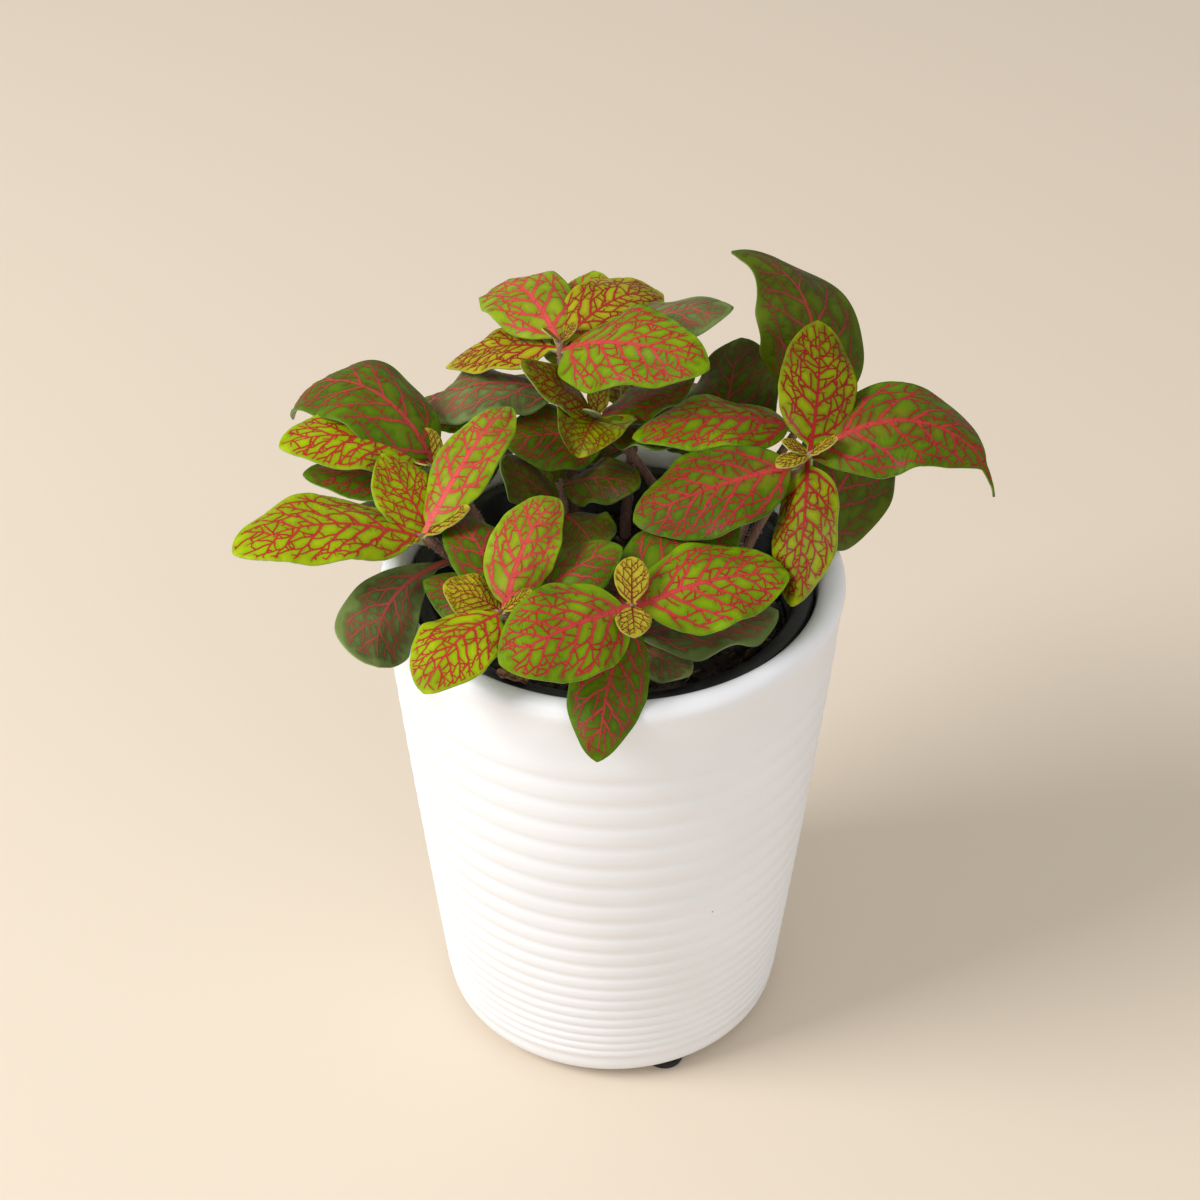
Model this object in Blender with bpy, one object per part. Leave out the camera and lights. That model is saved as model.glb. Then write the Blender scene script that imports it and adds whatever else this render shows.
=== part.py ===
# Potted nerve plant: leafy stems in soil, in a thin nursery pot, in a ribbed ceramic cachepot.
# Origin on the pot's axis at the surface it stands on, +Z up, the side seen in the photo faces -Y.
import bpy
import bmesh
from math import cos, exp, pi, radians, sin
from mathutils import Vector

# Driving dimensions, in millimetres and degrees
MM = 0.001
CLEARANCE = 0.3
TURNS = 28

POT_HEIGHT = 166.0
POT_RIM_RADIUS = 69.5
POT_BASE_RADIUS = 53.0
POT_BULGE = 0.6
POT_BOTTOM_ROUND = 8.0
POT_WALL_AT_RIM = 8.0
POT_INNER_TAPER = 0.11
POT_FLOOR = 8.0
RIB_DEPTH = 0.5
RIB_LOWEST = 12.0
RIB_HIGHEST = 146.0
RIB_PITCH_LOW = 3.4
RIB_PITCH_GAIN = 6.0
RIB_PITCH_HEIGHT = 70.0

PAD_RADIUS = 6.0
PAD_HEIGHT = 1.6
PAD_DRAFT = 0.4
PAD_CIRCLE = 45.0
PAD_ANGLES = (-68, 52, 172)

LIP_DROP = 4.0
LIP_BAND = 5.0
LIP_SKIRT = 6.0
LIP_EDGE = 0.5
LIP_FLARE = 1.5
LIP_NECK = 3.0
NURSERY_WALL = 1.1
NURSERY_DEPTH = 114.0
NURSERY_BASE_RADIUS = 43.0
DRAIN_RADIUS = 4.0
DRAIN_CIRCLE = 28.0
DRAIN_COUNT = 5
DRAIN_CUT = 6.0

SOIL_TOP = 147.0
SOIL_BUMP = 1.4
SOIL_TURNS = 24
SOIL_RINGS = (46, 36, 26, 15, 6, 0)
SOIL_SHOULDER = 2.0
SOIL_HEAP = 1.2
SOIL_HEAP_RADIUS = 55.0
HOLE_CUT = 20.0
STEM_FOOT = 138.0
STEM_RADIUS = 1.6
STEM_UPRIGHT = 4.0
STEM_BOW = 4.0
STEM_BOW_SHARE = 0.25
ROUND_SIDES = 8
BLADE_THICKNESS = 0.75
MIDRIB_DEPTH = 0.6
STALK_HALF = 1.1
STALK_SHARE = 0.07
TIP_HALF = 0.3
TAIL_FROM = 0.86
SMALL_BLADE = 30
SHORT_BLADE = 36
LONG_BLADE = 50

# What sets the kinds of leaf apart: how far the halves turn down from the midrib (degrees),
# how much the edge waves, how drawn out the base and the tip are, and how wide a tail it ends in.
LEAF_KINDS = {
    "bud": {"cup": 4, "wave": 0.2, "base": 0.7, "tip": 0.62, "tail": 0},
    "young": {"cup": -8, "wave": 0.8, "base": 0.58, "tip": 0.66, "tail": 0},
    "mature": {"cup": -12, "wave": 1.0, "base": 0.5, "tip": 0.66, "tail": 0},
    "old": {"cup": -12, "wave": 1.4, "base": 0.55, "tip": 0.62, "tail": 0},
    "narrow": {"cup": -8, "wave": 1.0, "base": 0.7, "tip": 0.9, "tail": 0},
    "pointed": {"cup": -14, "wave": 1.2, "base": 0.55, "tip": 0.85, "tail": 0},
    "broad": {"cup": -12, "wave": 1.0, "base": 0.36, "tip": 0.66, "tail": 0},
    "cupped": {"cup": 27, "wave": 0.6, "base": 0.24, "tip": 0.7, "tail": 0},
    "stalked": {"cup": -12, "wave": 1.2, "base": 1.1, "tip": 0.5, "tail": 0},
    "tailed": {"cup": -14, "wave": 1.2, "base": 0.55, "tip": 0.8, "tail": 0.24},
}

# Every leafy stem: where it leaves the soil, its crown, and its leaves. A leaf is its distance
# down the stem from the crown, heading (0 is +X, 90 is +Y), rise, length, width, droop, sweep,
# roll and kind. Opposite pairs stand crosswise up each stem, as nerve plants grow.
LEAFY_STEMS = {
    "right_front": {"foot": (33, -4), "crown": (57, -1, 207), "leaves": (
        (1, 74, 46, 42, 23, 22, 19, 9, "young"),
        (1.8, -92, -25, 46, 22.5, 26, -14, 33, "young"),
        (6, 23, 38, 73, 33, 119, -55, 20, "tailed"),
        (4.5, 196, -4, 52, 32, 26, -6, -15, "young"),
        (1.5, -12, 45, 11, 7, 10, 0, 0, "bud"),
        (1, 170, 30, 9, 6, 10, 0, 0, "bud"),
        (1, 215, 10, 12, 7, 20, 0, 0, "bud"))},
    "right_back": {"foot": (36, 18), "crown": (56, 24, 200), "leaves": (
        (1.5, 41, 69, 68, 33, 72, 133, 5, "pointed"),
        (1, 0, 50, 22, 15, 20, 0, 0, "young"),
        (1, 188, 21, 52, 25, 54, -5, -6, "mature"))},
    "mid_right": {"foot": (22, 22), "crown": (34, 30, 188), "leaves": (
        (2.5, 82, 41, 40, 31, 22, -7, -17, "old"),
        (3, 146, 16, 22, 15, 30, 0, 0, "mature"),
        (5, -84, 0, 28, 17, 20, 0, 0, "mature"))},
    "back_high": {"foot": (-12, 43), "crown": (-16, 45, 217), "leaves": (
        (2, 118, 33, 48, 28, 95, 8, -8, "mature"),
        (3, 166, 0, 40, 21, 48, -2, -6, "narrow"),
        (2, 44, 29, 43, 26, 64, -9, 12, "young"),
        (3.6, -53, 36, 58, 31, 58, 34, 28, "broad"),
        (10, 13, 36, 56, 30, 43, -12, 0, "mature"),
        (12, 75, 32, 41.5, 28, 29, 3, -11, "mature"),
        (19.4, 186, 26, 51, 29, 88, -3, 2, "old"),
        (1, 200, 50, 8, 5, 10, 0, 0, "bud"),
        (1, 20, 50, 8, 5, 10, 0, 0, "bud"))},
    "centre": {"foot": (20, 34), "crown": (-6, 35, 196), "leaves": (
        (1, -98, 27, 21, 28, 84, -16, -14, "cupped"),
        (1.5, 20, 20, 33, 22, 10, 0, -10, "mature"),
        (1, 199, 55, 33, 15, 25, -4, -25, "young"),
        (6, -28, 22, 30, 20, 30, -8, -5, "mature"),
        (8, 194, 10, 34, 24, 14, 0, -25, "mature"),
        (1, 73, 60, 12, 7, 3, 0, 0, "bud"),
        (1, 250, 50, 9, 6, 3, 0, 0, "bud"))},
    "left_back": {"foot": (-34, 16), "crown": (-54, 13, 193), "leaves": (
        (3, 141, 60, 69, 32, 145, 24, -4, "pointed"),
        (1.5, 179, 38, 49, 25, 56, 21, -11, "young"),
        (10, 186, 20, 45, 23, 24, 4, -4, "mature"),
        (1, 105, 50, 12, 8, 5, 0, 0, "bud"),
        (1, 250, 40, 10, 7, 5, 0, 0, "bud"))},
    "left_front": {"foot": (-36, -8), "crown": (-56, -14, 187), "leaves": (
        (5, 127, 50, 30, 21, 20, 10, 2, "young"),
        (3, 194, 30, 60, 29, 52, 12, -8, "young"),
        (1, 46, 48, 56, 19, 72, 26, 3, "mature"),
        (14.5, 207, 0, 50, 24, 21, 77, -30, "stalked"),
        (1, 215, 10, 10, 6, 10, 0, 0, "bud"),
        (1, 5, 38, 17, 9, 10, 0, 0, "bud"))},
    "front_left": {"foot": (-22, -30), "crown": (-32, -44, 182), "leaves": (
        (2.5, 66, 61, 41, 20, 76, -8, 21, "mature"),
        (6, 172, 37, 21, 17, 27, 4, -15, "young"),
        (1.5, 228, 13, 38, 24, 54, 14, -4, "young"),
        (11.5, 127, 49, 45, 19, 78, -12, -6, "mature"),
        (12, 23, 49, 38, 23, 46, -6, 11, "mature"),
        (11, 157, 27, 30, 20, 36, 3, -12, "mature"),
        (1, 10, 40, 11, 7, 10, 0, 0, "bud"))},
    "front": {"foot": (4, -32), "crown": (5, -49, 188), "leaves": (
        (1, 228, 18, 46, 31, 46, -25, -28, "mature"),
        (5, 22, 15, 48, 30, 32, -10, 20, "mature"),
        (1, 90, 29, 16, 10, 14, 0, 0, "bud"),
        (1, -88, 15, 16, 10, 26, 0, 0, "bud"),
        (11, -107, -8, 46, 23, 58, 6, -12, "mature"),
        (8, 61, 18, 52, 30, 22, -17, 5, "mature"),
        (24, 18, 0, 46, 27, 5, 0, -5, "old"),
        (26, -45, 5, 24, 17, 10, 0, 0, "old"),
        (10, 112, 8, 27, 17, 20, 0, 0, "old"))},
    "middle": {"foot": (-14, 8), "crown": (-16, 30, 176), "leaves": (
        (2, -30, 37, 30, 19, 46, -2, 19, "old"),
        (9, 194, 50, 27, 18, 10, -3, -30, "old"),
        (11, -62, 17, 30, 19, 19, -15, 22, "old"),
        (8, 125, 24, 22, 15, 30, 4, -22, "old"))},
    "back_left": {"foot": (-24, 30), "crown": (-38, 50, 186), "leaves": (
        (1, 150, 10, 38, 24, 60, 0, 0, "mature"),
        (1, 80, 20, 34, 23, 70, 0, 0, "mature"),
        (4, 115, 0, 38, 26, 60, 0, 0, "mature"),
        (14, 190, 0, 34, 22, 40, 0, 0, "old"),
        (1, 130, 50, 9, 6, 3, 0, 0, "bud"),
        (1, 310, 50, 9, 6, 3, 0, 0, "bud"))},
    "back": {"foot": (4, 40), "crown": (8, 56, 186), "leaves": (
        (2, 97, 20, 30, 21, 78, 0, 0, "young"),
        (1, 20, 15, 34, 20, 50, 0, 0, "young"),
        (8, 68, 10, 34, 22, 60, 0, 0, "mature"),
        (14, 163, 0, 34, 16, 8, 0, 0, "old"),
        (1, 150, 50, 9, 6, 3, 0, 0, "bud"),
        (1, 330, 50, 9, 6, 3, 0, 0, "bud"))},
    "back_right": {"foot": (32, 34), "crown": (40, 42, 171), "leaves": (
        (2.5, 112, 12, 26, 18, 45, 0, 0, "mature"),
        (1, -6, 6, 32, 22, 30, 0, 0, "mature"))},
    "right_low": {"foot": (46, -3), "crown": (57, 0, 173), "leaves": (
        (0.5, 64, 12, 54, 35, -38, -16, 44, "old"),)},
    "left_low": {"foot": (-42, 4), "crown": (-58, 4, 175), "leaves": (
        (1, 105, 15, 30, 20, 60, 0, 0, "mature"),
        (1, 160, 14, 34, 20, 40, 0, 0, "mature"))},
}

# A cut stub of an old stem stands in the soil, and one dry leaf lies on the black lip.
STUB_PLACE = (45, 12)
STUB_TOP = 154.0
STUB_RADIUS = 1.4
DRY_LEAF = {"place": (-24.5, -52), "heading": 150, "length": 10, "width": 5}


def clear_scene():
    for item in list(bpy.data.objects):
        bpy.data.objects.remove(item)


def material(name, colour, roughness, metallic=0.0):
    finish = bpy.data.materials.new(name)
    finish.use_nodes = True
    shader = finish.node_tree.nodes["Principled BSDF"]
    shader.inputs["Base Color"].default_value = (*colour, 1.0)
    shader.inputs["Roughness"].default_value = roughness
    shader.inputs["Metallic"].default_value = metallic
    finish.diffuse_color = (*colour, 1.0)
    return finish


def add_object(name, bm, finish, smooth=True):
    mesh = bpy.data.meshes.new(name)
    bm.to_mesh(mesh)
    bm.free()
    if smooth:
        mesh.shade_smooth()
        mesh.set_sharp_from_angle(angle=radians(40))
    item = bpy.data.objects.new(name, mesh)
    item.data.materials.append(finish)
    bpy.context.scene.collection.objects.link(item)
    return item


def turned(profile, turns=TURNS):
    """Spin a profile of (radius, height) in millimetres round +Z into a closed body."""
    bm = bmesh.new()
    points = [bm.verts.new((r * MM, 0, z * MM)) for r, z in profile]
    edges = [bm.edges.new(pair) for pair in zip(points, points[1:])]
    bmesh.ops.spin(bm, geom=points + edges, cent=(0, 0, 0), axis=(0, 0, 1),
                   angle=2 * pi, steps=turns, use_merge=True)
    bmesh.ops.remove_doubles(bm, verts=bm.verts, dist=0.01 * MM)
    bmesh.ops.recalc_face_normals(bm, faces=bm.faces)
    return bm


def apply_boolean(item, operation, operands):
    """Join or cut an object with a collection of others, which are then removed."""
    step = item.modifiers.new("boolean", "BOOLEAN")
    step.operand_type = "COLLECTION"
    step.collection = operands
    step.operation = operation
    step.solver = "EXACT"
    graph = bpy.context.evaluated_depsgraph_get()
    result = bpy.data.meshes.new_from_object(item.evaluated_get(graph), depsgraph=graph)
    item.modifiers.clear()
    item.data = result
    for other in list(operands.objects):
        bpy.data.objects.remove(other)
    bpy.data.collections.remove(operands)


def gather(name, items):
    """Move objects out of the scene's collection into one of their own."""
    group = bpy.data.collections.new(name)
    bpy.context.scene.collection.children.link(group)
    for item in items:
        group.objects.link(item)
        bpy.context.scene.collection.objects.unlink(item)
    return group


def pot_outer_radius(z):
    share = z / POT_HEIGHT
    return POT_BASE_RADIUS + (POT_RIM_RADIUS - POT_BASE_RADIUS) * share + POT_BULGE * sin(pi * share)


def pot_inner_radius(z):
    return POT_RIM_RADIUS - POT_WALL_AT_RIM - POT_INNER_TAPER * (POT_HEIGHT - z)


def rib_pitch(z):
    """Ribs lie close together near the base and further apart higher up."""
    return RIB_PITCH_LOW + RIB_PITCH_GAIN * (1 - exp(-(z / RIB_PITCH_HEIGHT) ** 2))


def ceramic_pot():
    underside = PAD_HEIGHT + CLEARANCE
    profile = [(0, underside)]
    corner_z = underside + POT_BOTTOM_ROUND
    corner_r = pot_outer_radius(corner_z) - POT_BOTTOM_ROUND
    for step in range(4):
        turn = radians(30 * step)
        profile.append((corner_r + POT_BOTTOM_ROUND * sin(turn), corner_z - POT_BOTTOM_ROUND * cos(turn)))
    z = RIB_LOWEST
    while z < RIB_HIGHEST:
        pitch = rib_pitch(z)
        profile.append((pot_outer_radius(z) - RIB_DEPTH, z))
        profile.append((pot_outer_radius(z + pitch / 2) + RIB_DEPTH, z + pitch / 2))
        z += pitch
    roll = POT_WALL_AT_RIM / 2
    for step in range(5):
        turn = radians(45 * step)
        profile.append((POT_RIM_RADIUS - roll + roll * cos(turn), POT_HEIGHT - roll + roll * sin(turn)))
    floor = underside + POT_FLOOR
    for z in (POT_HEIGHT / 2, floor + POT_BOTTOM_ROUND):
        profile.append((pot_inner_radius(z), z))
    profile.append((pot_inner_radius(floor) - POT_BOTTOM_ROUND, floor))
    profile.append((0, floor))
    return add_object("pot", turned(profile), material("white_ceramic", (0.86, 0.85, 0.82), 0.35))


def foot_pads():
    rubber = material("black_rubber", (0.02, 0.02, 0.02), 0.8)
    for number, angle in enumerate(PAD_ANGLES, 1):
        bm = bmesh.new()
        bmesh.ops.create_cone(bm, cap_ends=True, segments=16, radius1=PAD_RADIUS * MM,
                              radius2=(PAD_RADIUS - PAD_DRAFT) * MM, depth=PAD_HEIGHT * MM)
        place = Vector((PAD_CIRCLE * cos(radians(angle)), PAD_CIRCLE * sin(radians(angle)), PAD_HEIGHT / 2))
        bmesh.ops.translate(bm, verts=bm.verts, vec=place * MM)
        add_object(f"foot_pad_{number}", bm, rubber)


def nursery_radius(z):
    """Outer radius of the nursery pot's wall below its lip."""
    lip = POT_HEIGHT - LIP_DROP
    floor = lip - NURSERY_DEPTH
    top = pot_inner_radius(lip) - CLEARANCE - LIP_BAND
    return NURSERY_BASE_RADIUS + (top - NURSERY_BASE_RADIUS) * (z - floor) / (lip - floor)


def nursery_pot():
    lip = POT_HEIGHT - LIP_DROP
    floor = lip - NURSERY_DEPTH
    skirt = pot_inner_radius(lip - LIP_SKIRT) - CLEARANCE
    wall = NURSERY_WALL
    profile = [(0, floor), (nursery_radius(floor) - wall, floor)]
    profile.append((nursery_radius(floor + wall), floor + wall))
    profile.append((nursery_radius(lip - LIP_NECK), lip - LIP_NECK))
    profile.append((nursery_radius(lip - wall) + LIP_FLARE, lip - wall))
    profile.append((skirt - wall, lip - wall))
    profile.append((skirt - wall, lip - LIP_SKIRT))
    profile.append((skirt, lip - LIP_SKIRT))
    profile.append((skirt, lip - LIP_EDGE))
    profile.append((skirt - LIP_EDGE, lip))
    profile.append((nursery_radius(lip), lip))
    profile.append((nursery_radius(lip) - wall, lip - wall))
    profile.append((nursery_radius(floor + wall) - wall, floor + wall))
    profile.append((0, floor + wall))
    black = material("black_plastic", (0.015, 0.016, 0.018), 0.45)
    body = add_object("nursery_pot", turned(profile), black)
    drains = []
    for number in range(DRAIN_COUNT):
        angle = 2 * pi * number / DRAIN_COUNT
        bm = bmesh.new()
        bmesh.ops.create_cone(bm, cap_ends=True, segments=10, radius1=DRAIN_RADIUS * MM,
                              radius2=DRAIN_RADIUS * MM, depth=DRAIN_CUT * MM)
        place = Vector((DRAIN_CIRCLE * cos(angle), DRAIN_CIRCLE * sin(angle), floor))
        bmesh.ops.translate(bm, verts=bm.verts, vec=place * MM)
        drains.append(add_object("drain", bm, black))
    apply_boolean(body, "DIFFERENCE", gather("drains", drains))
    return body


def soil_height(x, y):
    """Crumbly top of the soil: a low heap with two sets of small humps, in millimetres."""
    heap = SOIL_HEAP * (1 - (x * x + y * y) / SOIL_HEAP_RADIUS ** 2)
    humps = sin(0.21 * x + 1.3) * cos(0.17 * y - 0.6) + 0.6 * sin(0.43 * x - 0.38 * y)
    return SOIL_TOP + heap + SOIL_BUMP * humps


def soil():
    lip = POT_HEIGHT - LIP_DROP
    floor = lip - NURSERY_DEPTH + NURSERY_WALL + CLEARANCE
    side = NURSERY_WALL + CLEARANCE
    edge = SOIL_TOP - SOIL_SHOULDER
    profile = [(0, floor), (nursery_radius(floor) - side - CLEARANCE, floor)]
    profile.append((nursery_radius(edge) - side - CLEARANCE, edge))
    profile += [(r, SOIL_TOP) for r in SOIL_RINGS]
    bm = turned(profile, SOIL_TURNS)
    for vert in bm.verts:
        x, y, z = vert.co / MM
        if z > edge + SOIL_SHOULDER / 2:
            vert.co.z = soil_height(x, y) * MM
    body = add_object("soil", bm, material("potting_soil", (0.03, 0.022, 0.016), 0.95), smooth=False)
    feet = [(*stem["foot"], STEM_RADIUS) for stem in LEAFY_STEMS.values()]
    feet.append((*STUB_PLACE, STUB_RADIUS))
    holes = []
    for x, y, radius in feet:
        bm = bmesh.new()
        bmesh.ops.create_cone(bm, cap_ends=True, segments=ROUND_SIDES,
                              radius1=(radius + 2 * CLEARANCE) * MM,
                              radius2=(radius + 2 * CLEARANCE) * MM, depth=HOLE_CUT * MM)
        place = Vector((x, y, STEM_FOOT - CLEARANCE + HOLE_CUT / 2))
        bmesh.ops.translate(bm, verts=bm.verts, vec=place * MM)
        holes.append(add_object("hole", bm, body.data.materials[0]))
    apply_boolean(body, "DIFFERENCE", gather("holes", holes))
    return body


def stem_path(stem, steps=6):
    """A stem goes straight up out of its hole in the soil, then leans over to its crown."""
    foot = Vector((*stem["foot"], STEM_FOOT))
    low = Vector((*stem["foot"], SOIL_TOP + STEM_UPRIGHT))
    crown = Vector(stem["crown"])
    knee = low.lerp(crown, STEM_BOW_SHARE)
    knee.z = (low.z + crown.z) / 2 + STEM_BOW
    path = [foot]
    for number in range(steps + 1):
        t = number / steps
        path.append((1 - t) ** 2 * low + 2 * t * (1 - t) * knee + t * t * crown)
    return path


def point_below_crown(path, distance):
    for upper, lower in zip(path[:0:-1], path[-2::-1]):
        length = (upper - lower).length
        if distance <= length:
            return upper.lerp(lower, distance / length)
        distance -= length
    return path[0]


def stem_tube(name, path, radius, finish):
    line = bpy.data.curves.new(name, "CURVE")
    line.dimensions = "3D"
    line.bevel_depth = radius * MM
    line.bevel_resolution = 1
    line.use_fill_caps = True
    thread = line.splines.new("POLY")
    thread.points.add(len(path) - 1)
    for point, place in zip(thread.points, path):
        point.co = (*(place * MM), 1)
    guide = bpy.data.objects.new(name, line)
    bpy.context.scene.collection.objects.link(guide)
    graph = bpy.context.evaluated_depsgraph_get()
    mesh = bpy.data.meshes.new_from_object(guide.evaluated_get(graph), depsgraph=graph)
    bpy.data.objects.remove(guide)
    bm = bmesh.new()
    bm.from_mesh(mesh)
    bmesh.ops.remove_doubles(bm, verts=bm.verts, dist=0.01 * MM)
    bmesh.ops.recalc_face_normals(bm, faces=bm.faces)
    return add_object(name, bm, finish)


def blade_half_width(t, width, form):
    """Half the blade's width at share t of its length: a stalk, an oval, and its pointed end."""
    s = max(0.0, (t - STALK_SHARE) / (1 - STALK_SHARE))
    if t < 0.5:
        least = STALK_HALF
    else:
        least = max(TIP_HALF, width * form["tail"] * (1 - s))
    if form["tail"]:
        s = min(1.0, s / TAIL_FROM)
    rise = form["base"]
    tip = form["tip"]
    peak = (rise / (rise + tip)) ** rise * (tip / (rise + tip)) ** tip
    return max(width / 2 * s ** rise * (1 - s) ** tip / peak, least)


def blade_spine(base, heading, rise, length, droop, sweep, roll, steps):
    """Points, side directions and normals along a midrib that bends down and to one side."""
    fine = 4
    place = Vector(base)
    spine = []
    before = None
    for number in range(steps * fine + 1):
        t = number / (steps * fine)
        pitch = radians(rise - droop * t ** 1.5)
        turn = radians(heading + sweep * t)
        ahead = Vector((cos(pitch) * cos(turn), cos(pitch) * sin(turn), sin(pitch)))
        if before:
            place = place + (ahead + before) / 2 * length / (steps * fine)
        before = ahead
        if number % fine == 0:
            side = Vector((-sin(turn), cos(turn), 0))
            up = ahead.cross(side)
            lean = radians(roll)
            spine.append((place.copy(), cos(lean) * side + sin(lean) * up, cos(lean) * up - sin(lean) * side))
    return spine


def blade_faces(length):
    """A short blade takes fewer faces along and across its midrib than a long one."""
    if length < SMALL_BLADE:
        return 4, 2
    if length < SHORT_BLADE:
        return 4, 4
    return (5, 4) if length < LONG_BLADE else (6, 4)


def blade(base, leaf, finish):
    """One thin leaf: a flat grid cut into triangles, given a second face, then bent to shape."""
    distance, heading, rise, length, width, droop, sweep, roll, kind = leaf
    form = LEAF_KINDS[kind]
    along, across = blade_faces(length)
    bm = bmesh.new()
    bmesh.ops.create_grid(bm, x_segments=along, y_segments=across, size=0.5)
    bmesh.ops.triangulate(bm, faces=bm.faces[:])
    second = bmesh.ops.extrude_face_region(bm, geom=bm.faces[:], use_keep_orig=True)
    lower = [part for part in second["geom"] if isinstance(part, bmesh.types.BMVert)]
    bmesh.ops.translate(bm, verts=lower, vec=(0, 0, -1))
    spine = blade_spine(base, heading, rise, length, droop, sweep, roll, along)
    for vert in bm.verts:
        t = vert.co.x + 0.5
        v = 2 * vert.co.y
        place, side, up = spine[round(t * along)]
        half = blade_half_width(t, width, form)
        turn = radians(form["cup"] * abs(v))
        edge = form["wave"] * half / 10 * v * v * sin(4.4 * pi * t + (1.6 if v > 0 else 0))
        lift = half * abs(v) * sin(turn) + edge + BLADE_THICKNESS / 2
        if vert.co.z < -0.5:
            lift -= BLADE_THICKNESS + MIDRIB_DEPTH * max(0, 1 - 2 * abs(v)) * (1 - 0.6 * t)
        vert.co = (place + side * half * v * cos(turn) + up * lift) * MM
    bmesh.ops.recalc_face_normals(bm, faces=bm.faces)
    return add_object("blade", bm, finish)


def leafy_stem(name, stem, finish):
    path = stem_path(stem)
    tip = path[-1] + (path[-1] - path[-2]).normalized()
    body = stem_tube(f"leafy_stem_{name}", path + [tip], STEM_RADIUS, finish)
    blades = [blade(point_below_crown(path, leaf[0]), leaf, finish) for leaf in stem["leaves"]]
    apply_boolean(body, "UNION", gather("blades", blades))
    return body


def cut_stub():
    bm = bmesh.new()
    height = STUB_TOP - STEM_FOOT
    bmesh.ops.create_cone(bm, cap_ends=True, segments=ROUND_SIDES, radius1=STUB_RADIUS * MM,
                          radius2=(STUB_RADIUS - 0.2) * MM, depth=height * MM)
    place = Vector((*STUB_PLACE, STEM_FOOT + height / 2))
    bmesh.ops.translate(bm, verts=bm.verts, vec=place * MM)
    return add_object("cut_stub", bm, material("dry_stem", (0.62, 0.55, 0.45), 0.8))


def dry_leaf():
    lip = POT_HEIGHT - LIP_DROP
    base = (*DRY_LEAF["place"], lip + CLEARANCE + BLADE_THICKNESS / 2 + MIDRIB_DEPTH)
    leaf = (0, DRY_LEAF["heading"], 6, DRY_LEAF["length"], DRY_LEAF["width"], 12, 0, 0, "bud")
    item = blade(base, leaf, material("dry_leaf", (0.22, 0.12, 0.06), 0.8))
    item.name = "dry_leaf"
    return item


def build():
    clear_scene()
    ceramic_pot()
    foot_pads()
    nursery_pot()
    soil()
    green = material("leaf_green", (0.18, 0.32, 0.05), 0.5)
    for name, stem in LEAFY_STEMS.items():
        leafy_stem(name, stem, green)
    cut_stub()
    dry_leaf()


build()
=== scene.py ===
import bpy
import bmesh
import random
from math import atan2, cos, degrees, exp, hypot, pi, radians, sin, sqrt
from mathutils import Matrix, Vector, kdtree, noise


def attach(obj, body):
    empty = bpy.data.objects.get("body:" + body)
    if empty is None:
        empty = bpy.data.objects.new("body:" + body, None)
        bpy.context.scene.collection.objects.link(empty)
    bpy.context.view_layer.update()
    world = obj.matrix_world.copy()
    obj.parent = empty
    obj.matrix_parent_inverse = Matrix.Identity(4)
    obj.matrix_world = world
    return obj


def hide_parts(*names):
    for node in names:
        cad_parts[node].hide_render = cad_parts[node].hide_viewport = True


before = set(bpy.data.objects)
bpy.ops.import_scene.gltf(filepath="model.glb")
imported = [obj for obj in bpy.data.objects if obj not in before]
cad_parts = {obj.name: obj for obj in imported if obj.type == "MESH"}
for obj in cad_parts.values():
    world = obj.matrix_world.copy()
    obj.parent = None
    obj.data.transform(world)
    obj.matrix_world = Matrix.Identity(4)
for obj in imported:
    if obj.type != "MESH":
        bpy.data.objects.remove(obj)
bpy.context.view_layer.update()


# The table the pot stands on is a plain, matt, warm white top. Daylight comes from a large window
# on the left and a little in front, and the pale room fills the shadows on the right.

TABLE_SIZE = 4.0
TABLE_COLOUR = "#DED1BF"
ROOM_COLOUR = "#EFECE8"
ROOM_STRENGTH = 0.7
WINDOW_PLACE = (-1.4, -0.45, 1.3)
WINDOW_SIZE = 0.9
WINDOW_POWER = 31
FILL_PLACE = (0.9, -1.3, 0.9)
FILL_SIZE = 1.4
FILL_POWER = 5
LIGHTS_AIM = Vector((0, 0, 0.12))
CAMERA_PLACE = (-0.0039, -0.6253, 0.6242)
CAMERA_DOWN = 37
CAMERA_LENS = 78


def linear(colour):
    """The linear colour of an sRGB hex value."""
    parts = [int(colour[i:i + 2], 16) / 255 for i in (1, 3, 5)]
    return (*[c / 12.92 if c <= 0.04045 else ((c + 0.055) / 1.055) ** 2.4 for c in parts], 1)


def add(tree, kind, settings, sockets):
    """Add a node; a socket takes a value, another node's socket, or a node for its first output."""
    made = tree.nodes.new("ShaderNode" + kind)
    for name, value in settings.items():
        setattr(made, name, value)
    for key, value in sockets.items():
        if isinstance(value, bpy.types.Node):
            value = next(output for output in value.outputs if output.enabled)
        if isinstance(value, bpy.types.NodeSocket):
            tree.links.new(value, made.inputs[key])
        else:
            made.inputs[key].default_value = value
    return made


def new_finish(name):
    """An empty material, its node tree, and the place on the object that its patterns read."""
    made = bpy.data.materials.new(name)
    made.use_nodes = True
    made.node_tree.nodes.clear()
    return made, made.node_tree, add(made.node_tree, "TexCoord", {}, {}).outputs["Object"]


def close_finish(tree, shader):
    add(tree, "OutputMaterial", {}, {"Surface": shader})


def place_in_scene(name, bm):
    """An object with this mesh, at the origin."""
    mesh = bpy.data.meshes.new(name)
    bm.to_mesh(mesh)
    bm.free()
    placed = bpy.data.objects.new(name, mesh)
    bpy.context.scene.collection.objects.link(placed)
    return placed


# Matt paint, rolled on: one soft even tone that mirrors nothing.
paint, tree, coords = new_finish("matt_paint")
close_finish(tree, add(tree, "BsdfPrincipled", {}, {
    "Base Color": linear(TABLE_COLOUR), "Roughness": 0.7, "Specular IOR Level": 0.3}))

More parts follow.
